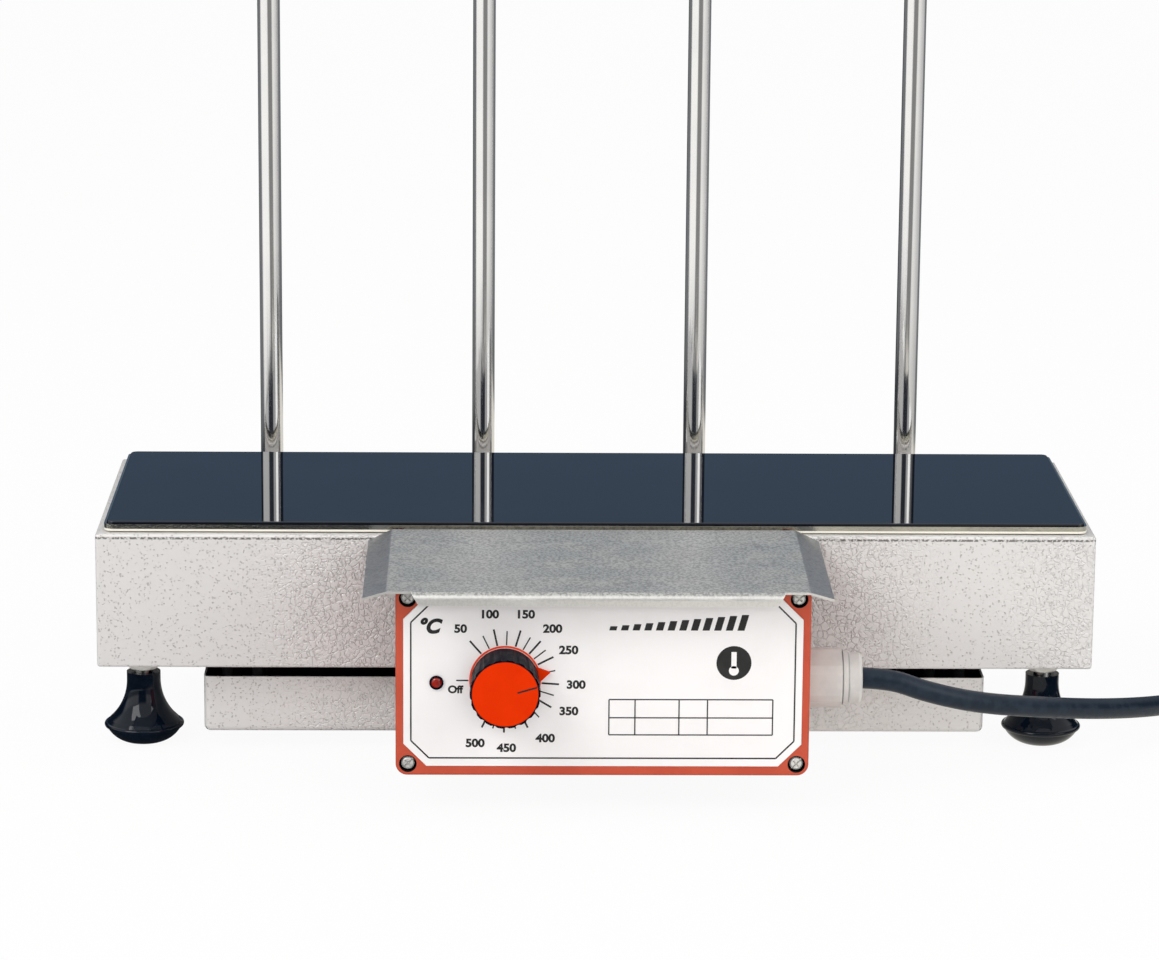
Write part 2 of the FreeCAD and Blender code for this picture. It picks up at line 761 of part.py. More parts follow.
def box_body():
    body = upright_case(lid_back, box_back).cut(upright_hollow(lid_back, box_back - box_wall))
    bosses = [cylinder(boss_r, box_back - lid_back, Vector(x, lid_back, z), AXIS_Y)
              for x, z in lid_screw_places()]
    body = body.fuse([b.common(upright_case(lid_back, box_back)) for b in bosses]).removeSplitter()
    for x, z in lid_screw_places():
        body = body.cut(cylinder(lid_screw_r, box_lid_depth, Vector(x, lid_back, z), AXIS_Y))
    body = body.cut(cylinder(gland_nipple_r + thread_clear, 3 * box_wall,
                             Vector(box_right - 2 * box_wall, gland_y, gland_z), AXIS_X))
    body = body.cut(cylinder(bush_r, 3 * box_wall,
                             Vector(box_x + bush_x, box_back - 2 * box_wall, box_mid_z), AXIS_Y))
    for sx in (-1, 1):
        for z in bracket_screw_zs():
            start = Vector(box_x + sx * bracket_screw_x, box_back - 2 * box_wall, z)
            body = body.cut(cylinder(screw_r, 3 * box_wall, start, AXIS_Y))
    return body


def panel_outline(w, h, chamfer, y):
    hw = w / 2
    hh = h / 2
    pts = [(-hw + chamfer, hh), (hw - chamfer, hh), (hw, hh - chamfer), (hw, -hh + chamfer),
           (hw - chamfer, -hh), (-hw + chamfer, -hh), (-hw, -hh + chamfer), (-hw, hh - chamfer)]
    return Part.makePolygon([Vector(box_x + x, y, box_mid_z + z) for x, z in pts + pts[:1]])


def box_lid():
    lid = upright_case(box_front, lid_back)
    rim = [e for e in lid.Edges if abs(e.BoundBox.YMin - box_front) < 1e-6
           and abs(e.BoundBox.YMax - box_front) < 1e-6]
    lid = lid.makeFillet(lid_edge_r, rim)
    lid = lid.cut(upright_hollow(box_front + lid_face_t, lid_back))
    bosses = [cylinder(boss_r, box_lid_depth - lid_face_t, Vector(x, box_front + lid_face_t, z), AXIS_Y)
              for x, z in lid_screw_places()]
    lid = lid.fuse([b.common(upright_case(box_front, lid_back)) for b in bosses]).removeSplitter()
    recess = Part.Face(panel_outline(panel_w, panel_h, panel_chamfer, box_front - 1))
    lid = lid.cut(recess.extrude(Vector(0, 1 + panel_t - panel_proud, 0)))
    for x, z in lid_screw_places():
        lid = lid.cut(cylinder(lid_bore_r, lid_bore_depth, Vector(x, box_front, z), AXIS_Y))
        lid = lid.cut(cylinder(lid_screw_r, box_lid_depth, Vector(x, box_front, z), AXIS_Y))
    lid = lid.cut(shaft_bore(regulator_bush_r + thread_clear))
    return lid.cut(lamp_bore())


def shaft_bore(r):
    return cylinder(r, box_lid_depth, Vector(knob_axis_x, box_front - 2, knob_axis_z), AXIS_Y)


def lamp_bore():
    start = Vector(lamp_axis_x, box_front - 2, lamp_axis_z)
    return cylinder(lamp_barrel_r + thread_clear, box_lid_depth, start, AXIS_Y)


def front_panel():
    w = panel_w - 2 * cap_clear
    h = panel_h - 2 * cap_clear
    face = Part.Face(panel_outline(w, h, panel_chamfer, panel_front))
    panel = face.extrude(Vector(0, panel_t, 0))
    return panel.cut(shaft_bore(regulator_bush_r + thread_clear)).cut(lamp_bore())


def lid_screws():
    """Cross-and-slot heads sunk in the corner bores of the lid."""
    screws = []
    for x, z in lid_screw_places():
        seat = Vector(x, box_front + lid_bore_depth, z)
        screw = pan_screw(seat, AXIS_Y, box_lid_depth, lid_screw_r, lid_screw_head_r, lid_screw_head_h)
        for turn in (45, 135):
            slot = block(-lid_screw_head_r, lid_screw_head_r, -1, slot_depth, -slot_w / 2, slot_w / 2)
            slot.rotate(Vector(0, 0, 0), AXIS_Y, turn)
            slot.translate(Vector(x, box_front + lid_bore_depth - lid_screw_head_h, z))
            if turn == 45:
                short = cylinder(lid_screw_head_r * 0.6, 4, Vector(x, box_front, z), AXIS_Y)
                slot = slot.common(short)
            screw = screw.cut(slot)
        screws.append(screw)
    return Part.makeCompound(screws)


def turn_knob(shape):
    """Set a piece of the control to its rest angle, counter-clockwise as seen from the front."""
    shape.rotate(Vector(knob_axis_x, 0, knob_axis_z), AXIS_Y * -1, knob_turn_deg)
    return shape


def knob_grip():
    length = cap_back - cap_proud - knob_front
    back = knob_rear - pointer_t
    depth = back - knob_front - cap_proud
    bore = shaft_r + shaft_grip
    floor = depth - length
    profile = [(bore, knob_socket), (pointer_bore_r, knob_socket), (pointer_bore_r, 0), (knob_rear_r, 0),
               (knob_front_r, depth * knob_taper), (knob_front_r, depth), (cap_r + cap_clear, depth),
               (cap_r + cap_clear, floor), (0, floor), (0, floor - knob_web), (bore, floor - knob_web)]
    start = Vector(knob_axis_x, back, knob_axis_z)
    grip = turned(profile, start, AXIS_Y * -1)
    for i in range(knob_flutes):
        a = 2 * math.pi * i / knob_flutes
        r = knob_front_r - flute_depth + flute_r
        x = knob_axis_x + r * math.cos(a)
        z = knob_axis_z + r * math.sin(a)
        grip = grip.cut(cylinder(flute_r, depth, Vector(x, back, z), AXIS_Y * -1))
    return turn_knob(grip)


def knob_cap():
    disc = cylinder(cap_r, cap_t, Vector(knob_axis_x, cap_back, knob_axis_z), AXIS_Y * -1)
    rim = [e for e in disc.Edges if abs(e.CenterOfMass.y - knob_front) < 1e-6]
    return disc.makeFillet(cap_edge_r, rim)


def knob_pointer():
    disc = cylinder(pointer_r, pointer_t, Vector(knob_axis_x, knob_rear, knob_axis_z), AXIS_Y * -1)
    root = math.sqrt(pointer_r ** 2 - pointer_nose_half ** 2)
    nose = Part.makePolygon([
        Vector(knob_axis_x + root - 1, knob_rear, knob_axis_z - pointer_nose_half),
        Vector(knob_axis_x + root + 1, knob_rear, knob_axis_z - pointer_nose_half),
        Vector(knob_axis_x + pointer_nose_r, knob_rear, knob_axis_z),
        Vector(knob_axis_x + root + 1, knob_rear, knob_axis_z + pointer_nose_half),
        Vector(knob_axis_x + root - 1, knob_rear, knob_axis_z + pointer_nose_half),
        Vector(knob_axis_x + root - 1, knob_rear, knob_axis_z - pointer_nose_half)])
    disc = disc.fuse(Part.Face(nose).extrude(Vector(0, -pointer_t, 0))).removeSplitter()
    bore = cylinder(pointer_bore_r, pointer_t, Vector(knob_axis_x, knob_rear, knob_axis_z), AXIS_Y * -1)
    return turn_knob(disc.cut(bore))


def regulator_shaft():
    length = cap_back - cap_proud - knob_front
    front = knob_front + cap_proud + length + knob_web + shaft_end_gap
    back = box_front + lid_face_t + shaft_reach
    return cylinder(shaft_r, back - front, Vector(knob_axis_x, front, knob_axis_z), AXIS_Y)


def regulator():
    face_y = box_front + lid_face_t
    half = regulator_size / 2
    body = block(knob_axis_x - half, knob_axis_x + half, face_y, face_y + regulator_depth,
                 knob_axis_z - half, knob_axis_z + half)
    body = body.makeFillet(regulator_corner_r, line_edges(body, AXIS_Y))
    seat = Vector(knob_axis_x, face_y, knob_axis_z)
    neck = cylinder(regulator_bush_r, regulator_bush_len, seat, AXIS_Y * -1)
    body = body.fuse(neck).removeSplitter()
    start = Vector(knob_axis_x, face_y - regulator_bush_len, knob_axis_z)
    reach = regulator_bush_len + shaft_reach + shaft_end_gap
    return body.cut(cylinder(shaft_r + shaft_fit, reach, start, AXIS_Y))


def regulator_nut():
    start = Vector(knob_axis_x, panel_front, knob_axis_z)
    nut = hexagon(regulator_nut_af, regulator_nut_h, start, AXIS_Y * -1)
    return nut.cut(cylinder(regulator_bush_r + thread_clear, regulator_nut_h, start, AXIS_Y * -1))


def lamp_holder():
    profile = [(lamp_lens_r, -lamp_bezel_h), (lamp_bezel_r, -lamp_bezel_h), (lamp_bezel_r, 0),
               (lamp_barrel_r, 0), (lamp_barrel_r, lamp_len), (0, lamp_len), (0, lamp_len * 0.5),
               (lamp_lens_r, lamp_len * 0.5)]
    return turned(profile, Vector(lamp_axis_x, panel_front, lamp_axis_z), AXIS_Y)


def lamp_lens():
    start = Vector(lamp_axis_x, panel_front + lamp_len * 0.5, lamp_axis_z)
    lens = cylinder(lamp_lens_r, lamp_len * 0.5 + lamp_bezel_h + 0.5, start, AXIS_Y * -1)
    rim = [e for e in lens.Edges if abs(e.CenterOfMass.y - (panel_front - lamp_bezel_h - 0.5)) < 1e-6]
    return lens.makeFillet(lamp_lens_r * 0.6, rim)


def terminal_block():
    """Ceramic block on the housing's floor, behind the bush, with a bore for each lead."""
    x = box_x + bush_x
    y = front_y + terminal_back
    z = housing_z + sheet_t
    body = block(x - terminal_w / 2, x + terminal_w / 2, y, y + terminal_d, z, z + terminal_h)
    for lx, lz in lead_places():
        body = body.cut(cylinder(lead_r + thread_clear, lead_end, Vector(lx, y, lz), AXIS_Y))
    return body


def gland_body():
    axis_start = Vector(box_right, gland_y, gland_z)
    prism = hexagon(gland_af, gland_hex_len, axis_start, AXIS_X)
    prism = prism.common(cylinder(gland_clip_r, gland_hex_len, axis_start, AXIS_X))
    neck_len = 2 * gland_groove_len + gland_ring_len
    neck = cylinder(gland_groove_r, neck_len, Vector(gland_hex_end, gland_y, gland_z), AXIS_X)
    collar = cylinder(gland_ring_r, gland_ring_len,
                      Vector(gland_hex_end + gland_groove_len, gland_y, gland_z), AXIS_X)
    nipple_start = Vector(box_right - box_wall - gland_nipple_len, gland_y, gland_z)
    nipple = cylinder(gland_nipple_r, box_wall + gland_nipple_len, nipple_start, AXIS_X)
    body = prism.fuse([neck, collar, nipple]).removeSplitter()
    reach = gland_nut_start - nipple_start.x
    body = body.cut(cylinder(cord_r + cord_clear, reach, nipple_start, AXIS_X))
    seal_start = Vector(gland_nut_start - gland_seal_len, gland_y, gland_z)
    return body.cut(cylinder(gland_groove_r - gland_seal_wall, gland_seal_len, seal_start, AXIS_X))


def gland_seal():
    start = Vector(gland_nut_start - gland_seal_len, gland_y, gland_z)
    ring = cylinder(gland_groove_r - gland_seal_wall - thread_clear, gland_seal_len, start, AXIS_X)
    return ring.cut(cylinder(cord_r - gland_seal_squeeze, gland_seal_len, start, AXIS_X))


def gland_nut():
    start = Vector(gland_nut_start, gland_y, gland_z)
    nut = cylinder(gland_nut_r, gland_nut_len, start, AXIS_X)
    rim = [e for e in nut.Edges if abs(e.CenterOfMass.x - gland_end) < 1e-6]
    nut = nut.makeFillet(gland_nut_edge, rim)
    return nut.cut(cylinder(cord_r + cord_clear, gland_nut_len, start, AXIS_X))


def gland_locknut():
    start = Vector(box_right - box_wall - gland_locknut_h, gland_y, gland_z)
    nut = hexagon(gland_locknut_af, gland_locknut_h, start, AXIS_X)
    return nut.cut(cylinder(gland_nipple_r + thread_clear, gland_locknut_h, start, AXIS_X))


# The free cord's route from the gland to the coil: X, Y and Z of each point, chosen by hand.
lay_z = cord_r + cord_above_bench
cord_route = [
    Vector(gland_nut_start, gland_y, gland_z),
    Vector(124.0, gland_y, gland_z),
    Vector(141.0, -124.5, 45.2),
    Vector(165.0, -116.0, 37.8),
    Vector(194.0, -97.0, 30.6),
    Vector(222.0, -73.5, 23.0),
    Vector(248.0, -48.0, 16.6),
    Vector(272.0, -16.0, 10.0),
    Vector(288.0, 22.0, 5.6),
    Vector(coil_entry[0], 52.0, lay_z),
    Vector(coil_entry[0], coil_entry[1], lay_z),
]
coil_outer_r = coil_mid_r + cord_r
coil_centre = Vector(coil_entry[0] + coil_outer_r, coil_entry[1], 0)
tail_x = coil_centre.x + coil_outer_r
tail_zs = (lay_z + 2 * cord_r + tail_rise, plug_r, plug_r)
tail_route = [Vector(tail_x, coil_centre.y, lay_z + 2 * cord_r)]
tail_route += [Vector(tail_x - bend, coil_centre.y - run, z)
               for bend, run, z in zip(tail_bends, tail_runs, tail_zs)]


def rounded_path(points, label):
    """Straight runs joined by tangent arcs, each as large as its two runs allow."""
    edges = []
    start = points[0]
    radii = []
    for before, here, after in zip(points, points[1:], points[2:]):
        back = before - here
        ahead = after - here
        run = min(back.Length, ahead.Length)
        back_dir = Vector(back).normalize()
        ahead_dir = Vector(ahead).normalize()
        turn = math.pi - back_dir.getAngle(ahead_dir)
        reach = 0.45 * run
        radius = reach / math.tan(turn / 2)
        radii.append(radius)
        enter = here + back_dir * reach
        leave = here + ahead_dir * reach
        inward = (back_dir + ahead_dir).normalize()
        middle = here + inward * (radius / math.cos(turn / 2) - radius)
        edges.append(Part.LineSegment(start, enter).toShape())
        edges.append(Part.Arc(enter, middle, leave).toShape())
        start = leave
    edges.append(Part.LineSegment(start, points[-1]).toShape())
    print(label, "bend radii", [round(r) for r in radii])
    return Part.Wire(edges)


def tube_along(points, label):
    path = rounded_path(points, label)
    first = (points[1] - points[0]).normalize()
    ring = Part.Wire([Part.Circle(points[0], first, cord_r).toShape()])
    tube = path.makePipeShell([ring], True, False)
    section = math.pi * cord_r ** 2
    ratio = tube.Volume / section / path.Length
    print(label, "length", round(path.Length, 1), "volume ratio", round(ratio, 4))
    return tube


def coil_ring(half_w, z0, z1, edge_r):
    outer = cylinder(coil_mid_r + half_w, z1 - z0, Vector(coil_centre.x, coil_centre.y, z0), AXIS_Z)
    inner = cylinder(coil_mid_r - half_w, z1 - z0, Vector(coil_centre.x, coil_centre.y, z0), AXIS_Z)
    ring = outer.cut(inner)
    rims = [e for e in ring.Edges if isinstance(e.Curve, Part.Circle)]
    return ring.makeFillet(edge_r, rims)


def tie_sector():
    """The slice of the coil that the tie wraps, on the side away from the plate."""
    half = coil_tie_w / 2
    y0 = coil_centre.y + coil_mid_r - 4 * cord_r
    return block(coil_centre.x - half, coil_centre.x + half, y0, y0 + 8 * cord_r, -1, 6 * cord_r)


def coil_waist():
    """The coil under its tie, thinner by the tie all round."""
    return coil_ring(2 * cord_r - coil_tie_t, coil_tie_t, 4 * cord_r - coil_tie_t, coil_edge_r - coil_tie_t)


def cord_coil():
    full = coil_ring(2 * cord_r, 0, 4 * cord_r, coil_edge_r)
    slice_box = tie_sector()
    return full.cut(slice_box).fuse(coil_waist().common(slice_box)).removeSplitter()


def coil_tie():
    outer = coil_ring(2 * cord_r, 0, 4 * cord_r, coil_edge_r)
    return outer.cut(coil_waist()).common(tie_sector())


def plug_axis():
    return (tail_route[-1] - tail_route[-2]).normalize()


def plug_body():
    """A round straight plug: ribbed sleeve, waisted body and flat face with two pin seats."""
    sleeve_end = plug_sleeve_len
    end = sleeve_end + plug_len
    profile = [(0, 0), (plug_sleeve_r - 1.0, 0), (plug_sleeve_r, sleeve_end),
               (plug_r - plug_waist, sleeve_end + plug_shoulder), (plug_r - plug_waist, end - 2 * plug_rim),
               (plug_r, end - plug_rim), (plug_r, end), (0, end)]
    body = turned(profile, tail_route[-1], plug_axis())
    side = plug_axis().cross(AXIS_Z)
    face = tail_route[-1] + plug_axis() * (plug_sleeve_len + plug_len)
    for s in (-1, 1):
        hole = face + side * (s * plug_pin_pitch / 2)
        body = body.cut(cylinder(plug_pin_r, plug_pin_seat, hole, plug_axis() * -1))
    return body


def plug_pins():
    side = plug_axis().cross(AXIS_Z)
    face = tail_route[-1] + plug_axis() * (plug_sleeve_len + plug_len)
    pins = []
    for s in (-1, 1):
        root = face + side * (s * plug_pin_pitch / 2) - plug_axis() * plug_pin_seat
        pin = cylinder(plug_pin_r, plug_pin_len + plug_pin_seat, root, plug_axis())
        tip = [e for e in pin.Edges if isinstance(e.Curve, Part.Circle)
               and (e.Curve.Center - root).Length > plug_pin_len]
        pins.append(pin.makeFillet(plug_pin_r * 0.6, tip))
    return Part.makeCompound(pins)


def support_rod(x):
    shoulder = Vector(x, rod_y, rod_shoulder_z)
    rod = cylinder(rod_r, rod_len, shoulder, AXIS_Z)
    rod = rod.makeChamfer(rod_chamfer, top_edges(rod, rod_top_z))
    thread = cylinder(rod_thread_r, rod_thread_len, shoulder, AXIS_Z * -1)
    thread = thread.makeChamfer(rod_chamfer, top_edges(thread, rod_shoulder_z - rod_thread_len))
    return rod.fuse(thread)


def rod_holder(x):
    body = block(x - holder_w / 2, x + holder_w / 2, rear_y, holder_back, holder_z, holder_z + holder_h)
    back = [e for e in line_edges(body, AXIS_Z) if abs(e.CenterOfMass.y - holder_back) < 1e-6]
    body = body.makeFillet(holder_round, back)
    body = body.cut(cylinder(rod_thread_r + thread_clear, holder_h, Vector(x, rod_y, holder_z), AXIS_Z))
    for hx, hz in holder_screw_places():
        if abs(hx - x) < 1e-6:
            body = body.cut(cylinder(screw_r, holder_screw_len, Vector(hx, rear_y, hz), AXIS_Y))
    return body


def holder_screws():
    seats = [Vector(x, rear_y - sheet_t, z) for x, z in holder_screw_places()]
    return Part.makeCompound([pan_screw(s, AXIS_Y, holder_screw_len - sheet_t) for s in seats])


heater_w = ring_open_w - 2 * heater_side_gap
heater_d = ring_open_d - 2 * heater_side_gap
heater_top = glass_z - heater_top_gap
heater_z = heater_top - heater_t
recess_z = heater_top - heater_recess


def insulation_tray():
    slab = plate(heater_w, heater_d, heater_t, heater_z, glass_corner_r)
    recess = plate(heater_w - 2 * heater_rim, heater_d - 2 * heater_rim, heater_recess, recess_z,
                   glass_corner_r)
    probe_z = heater_top - probe_below_glass
    hole = cylinder(probe_r + thread_clear, heater_rim + 2, Vector(0, -heater_d / 2 - 1, probe_z), AXIS_Y)
    return slab.cut(recess).cut(hole)


def heating_ribbon():
    """A flat ribbon that runs up and down the recess in long loops."""
    span = heater_w - 2 * (heater_rim + ribbon_end)
    pitch = (heater_d - 2 * (heater_rim + ribbon_side)) / (ribbon_runs - 1)
    z = recess_z + ribbon_t / 2
    edges = []
    for i in range(ribbon_runs):
        y = (i - (ribbon_runs - 1) / 2) * pitch
        side = 1 if i % 2 == 0 else -1
        a = Vector(-side * (span / 2 - pitch / 2), y, z)
        b = Vector(side * (span / 2 - pitch / 2), y, z)
        edges.append(Part.LineSegment(a, b).toShape())
        if i < ribbon_runs - 1:
            mid = Vector(side * span / 2, y + pitch / 2, z)
            edges.append(Part.Arc(b, mid, Vector(b.x, y + pitch, z)).toShape())
    path = Part.Wire(edges)
    first = edges[0].Vertexes[0].Point
    section = Part.makePolygon([first + Vector(0, sy * ribbon_w / 2, sz * ribbon_t / 2)
                                for sy, sz in ((-1, -1), (1, -1), (1, 1), (-1, 1), (-1, -1))])
    return path.makePipeShell([section], True, False)


def support_sheet():
    """Carries the insulation: a folded sheet whose two legs stand on the housing's floor."""
    floor_z = housing_z + sheet_t
    half = heater_w / 2
    leg_x = half - support_foot
    top = plate(heater_w, heater_d - 2 * support_foot, support_t, heater_z - support_t, glass_corner_r)
    pieces = []
    for s in (-1, 1):
        x0 = min(s * leg_x, s * (leg_x + support_t))
        pieces.append(block(x0, x0 + support_t, -support_leg_half, support_leg_half, floor_z,
                            heater_z - support_t))
        f0 = min(s * leg_x, s * (leg_x + support_foot))
        pieces.append(block(f0, f0 + support_foot, -support_leg_half, support_leg_half, floor_z,
                            floor_z + support_t))
    return top.fuse(pieces).removeSplitter()


def temperature_probe():
    z = heater_top - probe_below_glass
    start_y = -heater_d / 2
    probe = cylinder(probe_r, heater_d * 0.6, Vector(0, start_y, z), AXIS_Y)
    tip = [e for e in probe.Edges if abs(e.CenterOfMass.y - (start_y + heater_d * 0.6)) < 1e-6]
    return probe.makeFillet(probe_r * 0.8, tip)


save("glass_plate", glass_plate())
save("trim_ring", trim_ring())
save("glass_seal", glass_seal())
save("housing_gasket", housing_gasket())
save("housing", housing())
save("bottom_cover", bottom_cover())
save("panel_screws", panel_screws())
save("lower_tray", lower_tray())
save("tray_standoffs", tray_standoffs())
save("tray_screws", tray_screws())
for place, (foot_x, foot_y) in foot_places.items():
    save("foot_" + place, foot_pad(foot_x, foot_y))
    save("stud_" + place, foot_stud(foot_x, foot_y))
save("foot_nuts", foot_nuts())
save("foot_washers", foot_washers())
save("foot_inserts", foot_inserts())
save("heat_shield", heat_shield())
save("box_bracket", box_bracket())
save("cable_bush", cable_bush())
save("lead_loom", lead_loom())
save("box_body", box_body())
save("box_lid", box_lid())
save("front_panel", front_panel())
save("lid_screws", lid_screws())
save("knob_grip", knob_grip())
save("knob_cap", knob_cap())
save("knob_pointer", knob_pointer())
save("regulator_shaft", regulator_shaft())
save("regulator", regulator())
save("regulator_nut", regulator_nut())
save("lamp_holder", lamp_holder())
save("lamp_lens", lamp_lens())
save("terminal_block", terminal_block())
save("gland_body", gland_body())
save("gland_seal", gland_seal())
save("gland_nut", gland_nut())
save("gland_locknut", gland_locknut())
coil = cord_coil()
save("cord_coil", coil)
save("cord_tube", tube_along(cord_route, "cord").cut(coil))
save("cord_tail", tube_along(tail_route, "tail").cut(coil))
save("coil_tie", coil_tie())
save("plug_body", plug_body())
save("plug_pins", plug_pins())
for number, rod_x in enumerate(rod_xs, 1):
    save("support_rod_" + str(number), support_rod(rod_x))
save("rod_holders", Part.makeCompound([rod_holder(rod_x) for rod_x in rod_xs]))
save("holder_screws", holder_screws())
save("insulation_tray", insulation_tray())
save("heating_ribbon", heating_ribbon())
save("support_sheet", support_sheet())
save("temperature_probe", temperature_probe())
print("origin Y", origin_y, "glass top", glass_top, "rod top", rod_top_z)
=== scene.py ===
# %% [markdown]
# A bench hot plate, dressed in Blender.
# The solids come in ready made and stay where they are. This script adds what a drawing office
# leaves out: the camera, the light, the finish of each surface, the print on the dial and the cord.
# Lengths in the script are metres. A value that is read off a drawing is written in millimetres
# and multiplied by MM where it is used.

import bpy
import bmesh
import math
from mathutils import Matrix, Vector


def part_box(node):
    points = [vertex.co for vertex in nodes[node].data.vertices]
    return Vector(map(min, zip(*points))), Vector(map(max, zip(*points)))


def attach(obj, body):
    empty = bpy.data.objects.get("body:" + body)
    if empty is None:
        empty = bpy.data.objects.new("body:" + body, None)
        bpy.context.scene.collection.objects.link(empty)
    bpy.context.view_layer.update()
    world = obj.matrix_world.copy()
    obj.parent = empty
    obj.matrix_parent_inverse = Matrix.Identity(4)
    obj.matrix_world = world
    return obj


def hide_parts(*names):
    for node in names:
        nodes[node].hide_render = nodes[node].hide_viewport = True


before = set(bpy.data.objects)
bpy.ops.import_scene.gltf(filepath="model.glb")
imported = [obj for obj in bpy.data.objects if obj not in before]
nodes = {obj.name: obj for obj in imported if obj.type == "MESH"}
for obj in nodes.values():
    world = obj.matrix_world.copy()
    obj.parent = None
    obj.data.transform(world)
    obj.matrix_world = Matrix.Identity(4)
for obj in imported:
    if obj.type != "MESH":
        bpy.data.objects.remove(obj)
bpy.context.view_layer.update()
MM = 0.001

# %% [markdown]
# The camera comes first, because everything after it is judged through it.
# The picture was taken with a long lens from about two metres away, a little left of the middle and
# looking down by about thirteen degrees. A long lens keeps the four rods almost parallel.
# The view direction is built from three angles, so that each can be nudged alone.

# %% Camera
CAMERA_PLACE = Vector((-0.0466, -1.9105, 0.5635))
FILM_WIDTH = 36
LENS = 136.98
PITCH = math.radians(13.15)
YAW = math.radians(1.19)
ROLL = math.radians(0.46)


def camera_rotation(pitch, yaw, roll):
    """Axes of a camera that looks along +Y, turned by the three angles."""
    ahead = Vector((math.sin(yaw) * math.cos(pitch), math.cos(yaw) * math.cos(pitch), -math.sin(pitch)))
    right = Vector((math.cos(yaw), -math.sin(yaw), 0))
    up = right.cross(ahead)
    side = right * math.cos(roll) + up * math.sin(roll)
    top = up * math.cos(roll) - right * math.sin(roll)
    return Matrix((side, top, -ahead)).transposed()


camera_data = bpy.data.cameras.new("bench_camera")
camera_data.sensor_width = FILM_WIDTH
camera_data.lens = LENS
camera_data.clip_end = 50
camera = bpy.data.objects.new("bench_camera", camera_data)
camera.matrix_world = Matrix.Translation(CAMERA_PLACE) @ camera_rotation(PITCH, YAW, ROLL).to_4x4()
bpy.context.collection.objects.link(camera)
bpy.context.scene.camera = camera
bpy.context.scene.view_settings.view_transform = "Standard"
print("camera", [round(v, 3) for v in CAMERA_PLACE], "lens", LENS)

# %% [markdown]
# Shader trees are long to write out node by node. A few small helpers keep them readable: one adds
# a node with its settings and fixed inputs, one joins an output to an input, and the rest are the
# handful of steps that every finish repeats. A shared effect is a group, made once and placed in
# every material that shows it.

# %% Helpers for shader trees


def add(tree, kind, settings=None, **inputs):
    """A new node; inputs are named as in the editor, with spaces written as underscores."""
    node = tree.nodes.new("ShaderNode" + kind)
    for name, value in (settings or {}).items():
        setattr(node, name, value)
    for name, value in inputs.items():
        key = name.replace("_", " ")
        node.inputs[key].default_value = value
    return node


def join(tree, source, target):
    """Join an output to an input, or write a plain number or colour on it."""
    if isinstance(source, (int, float, tuple)):
        target.default_value = source
    else:
        tree.links.new(source, target)


def math_node(tree, operation, first, second=0.0):
    """A Math node whose two inputs are sockets or plain numbers."""
    node = add(tree, "Math", {"operation": operation})
    for socket, value in zip(node.inputs, (first, second)):
        join(tree, value, socket)
    return node.outputs[0]


def vector_node(tree, operation, first, second=None):
    """A VectorMath node with one or two joined inputs."""
    node = add(tree, "VectorMath", {"operation": operation})
    join(tree, first, node.inputs[0])
    if second is not None:
        join(tree, second, node.inputs["Scale" if operation == "SCALE" else 1])
    return node.outputs


def blend_colours(tree, factor, first, second):
    """A colour Mix node whose inputs are sockets or plain colours."""
    node = add(tree, "Mix", {"data_type": "RGBA"})
    for index, value in ((0, factor), (6, first), (7, second)):
        join(tree, value, node.inputs[index])
    return node.outputs[2]


def ramp(tree, value, low, high, to_low=0.0, to_high=1.0):
    """Map a value from one range to another, with soft ends."""
    node = add(tree, "MapRange", {"interpolation_type": "SMOOTHSTEP"},
               From_Min=low, From_Max=high, To_Min=to_low, To_Max=to_high)
    join(tree, value, node.inputs["Value"])
    return node.outputs["Result"]


def own_place(tree):
    """Where a point lies, in the object's own coordinates, which are the drawing's."""
    return add(tree, "TexCoord").outputs["Object"]


def split(tree, vector):
    """The three parts of a vector, by the names X, Y and Z."""
    node = add(tree, "SeparateXYZ")
    join(tree, vector, node.inputs[0])
    return node.outputs


def noise_node(tree, where, scale, **inputs):
    """A noise texture at a place and a scale, each a socket or, for the scale, a number."""
    node = add(tree, "TexNoise", **inputs)
    join(tree, where, node.inputs["Vector"])
    join(tree, scale, node.inputs["Scale"])
    return node.outputs


def new_group(name, inputs, outputs):
    """An empty group with named sockets, each given as name: (kind, default)."""
    group = bpy.data.node_groups.new(name, "ShaderNodeTree")
    for label, (kind, default) in inputs.items():
        socket = group.interface.new_socket(label, in_out="INPUT", socket_type="NodeSocket" + kind)
        socket.default_value = default
    for label, kind in outputs.items():
        group.interface.new_socket(label, in_out="OUTPUT", socket_type="NodeSocket" + kind)
    return group, group.nodes.new("NodeGroupInput"), group.nodes.new("NodeGroupOutput")


def place(tree, group, **inputs):
    """Put a finished group in a tree, with its own values."""
    node = tree.nodes.new("ShaderNodeGroup")
    node.node_tree = group
    for name, value in inputs.items():
        node.inputs[name.replace("_", " ")].default_value = value
    return node


print("shader helpers ready")

# %% [markdown]
# Polished steel and dark glass show nothing but the room, so the room has to be designed.
# The rods in the picture carry two bright bands beside a grey core, and the plate is slate blue.
# That is a studio with a dark gap behind the camera, bright panels at both sides, black corners
# and a slate wall at the back. One group paints it by the compass angle, and both the sky and the
# floor use it. The gap sits a little off the middle, so the group can be turned.

# %% The studio that shiny surfaces see
GAP_EDGE = (math.radians(17), math.radians(30))
PANEL_FADE = (math.radians(30), math.radians(95))
CORNER_EDGE = (math.radians(92), math.radians(110))
BACK_EDGE = (math.radians(148), math.radians(166))
LEFT_TO_RIGHT = (-0.1, 0.1)


def grey(value):
    return (value, value, value, 1)


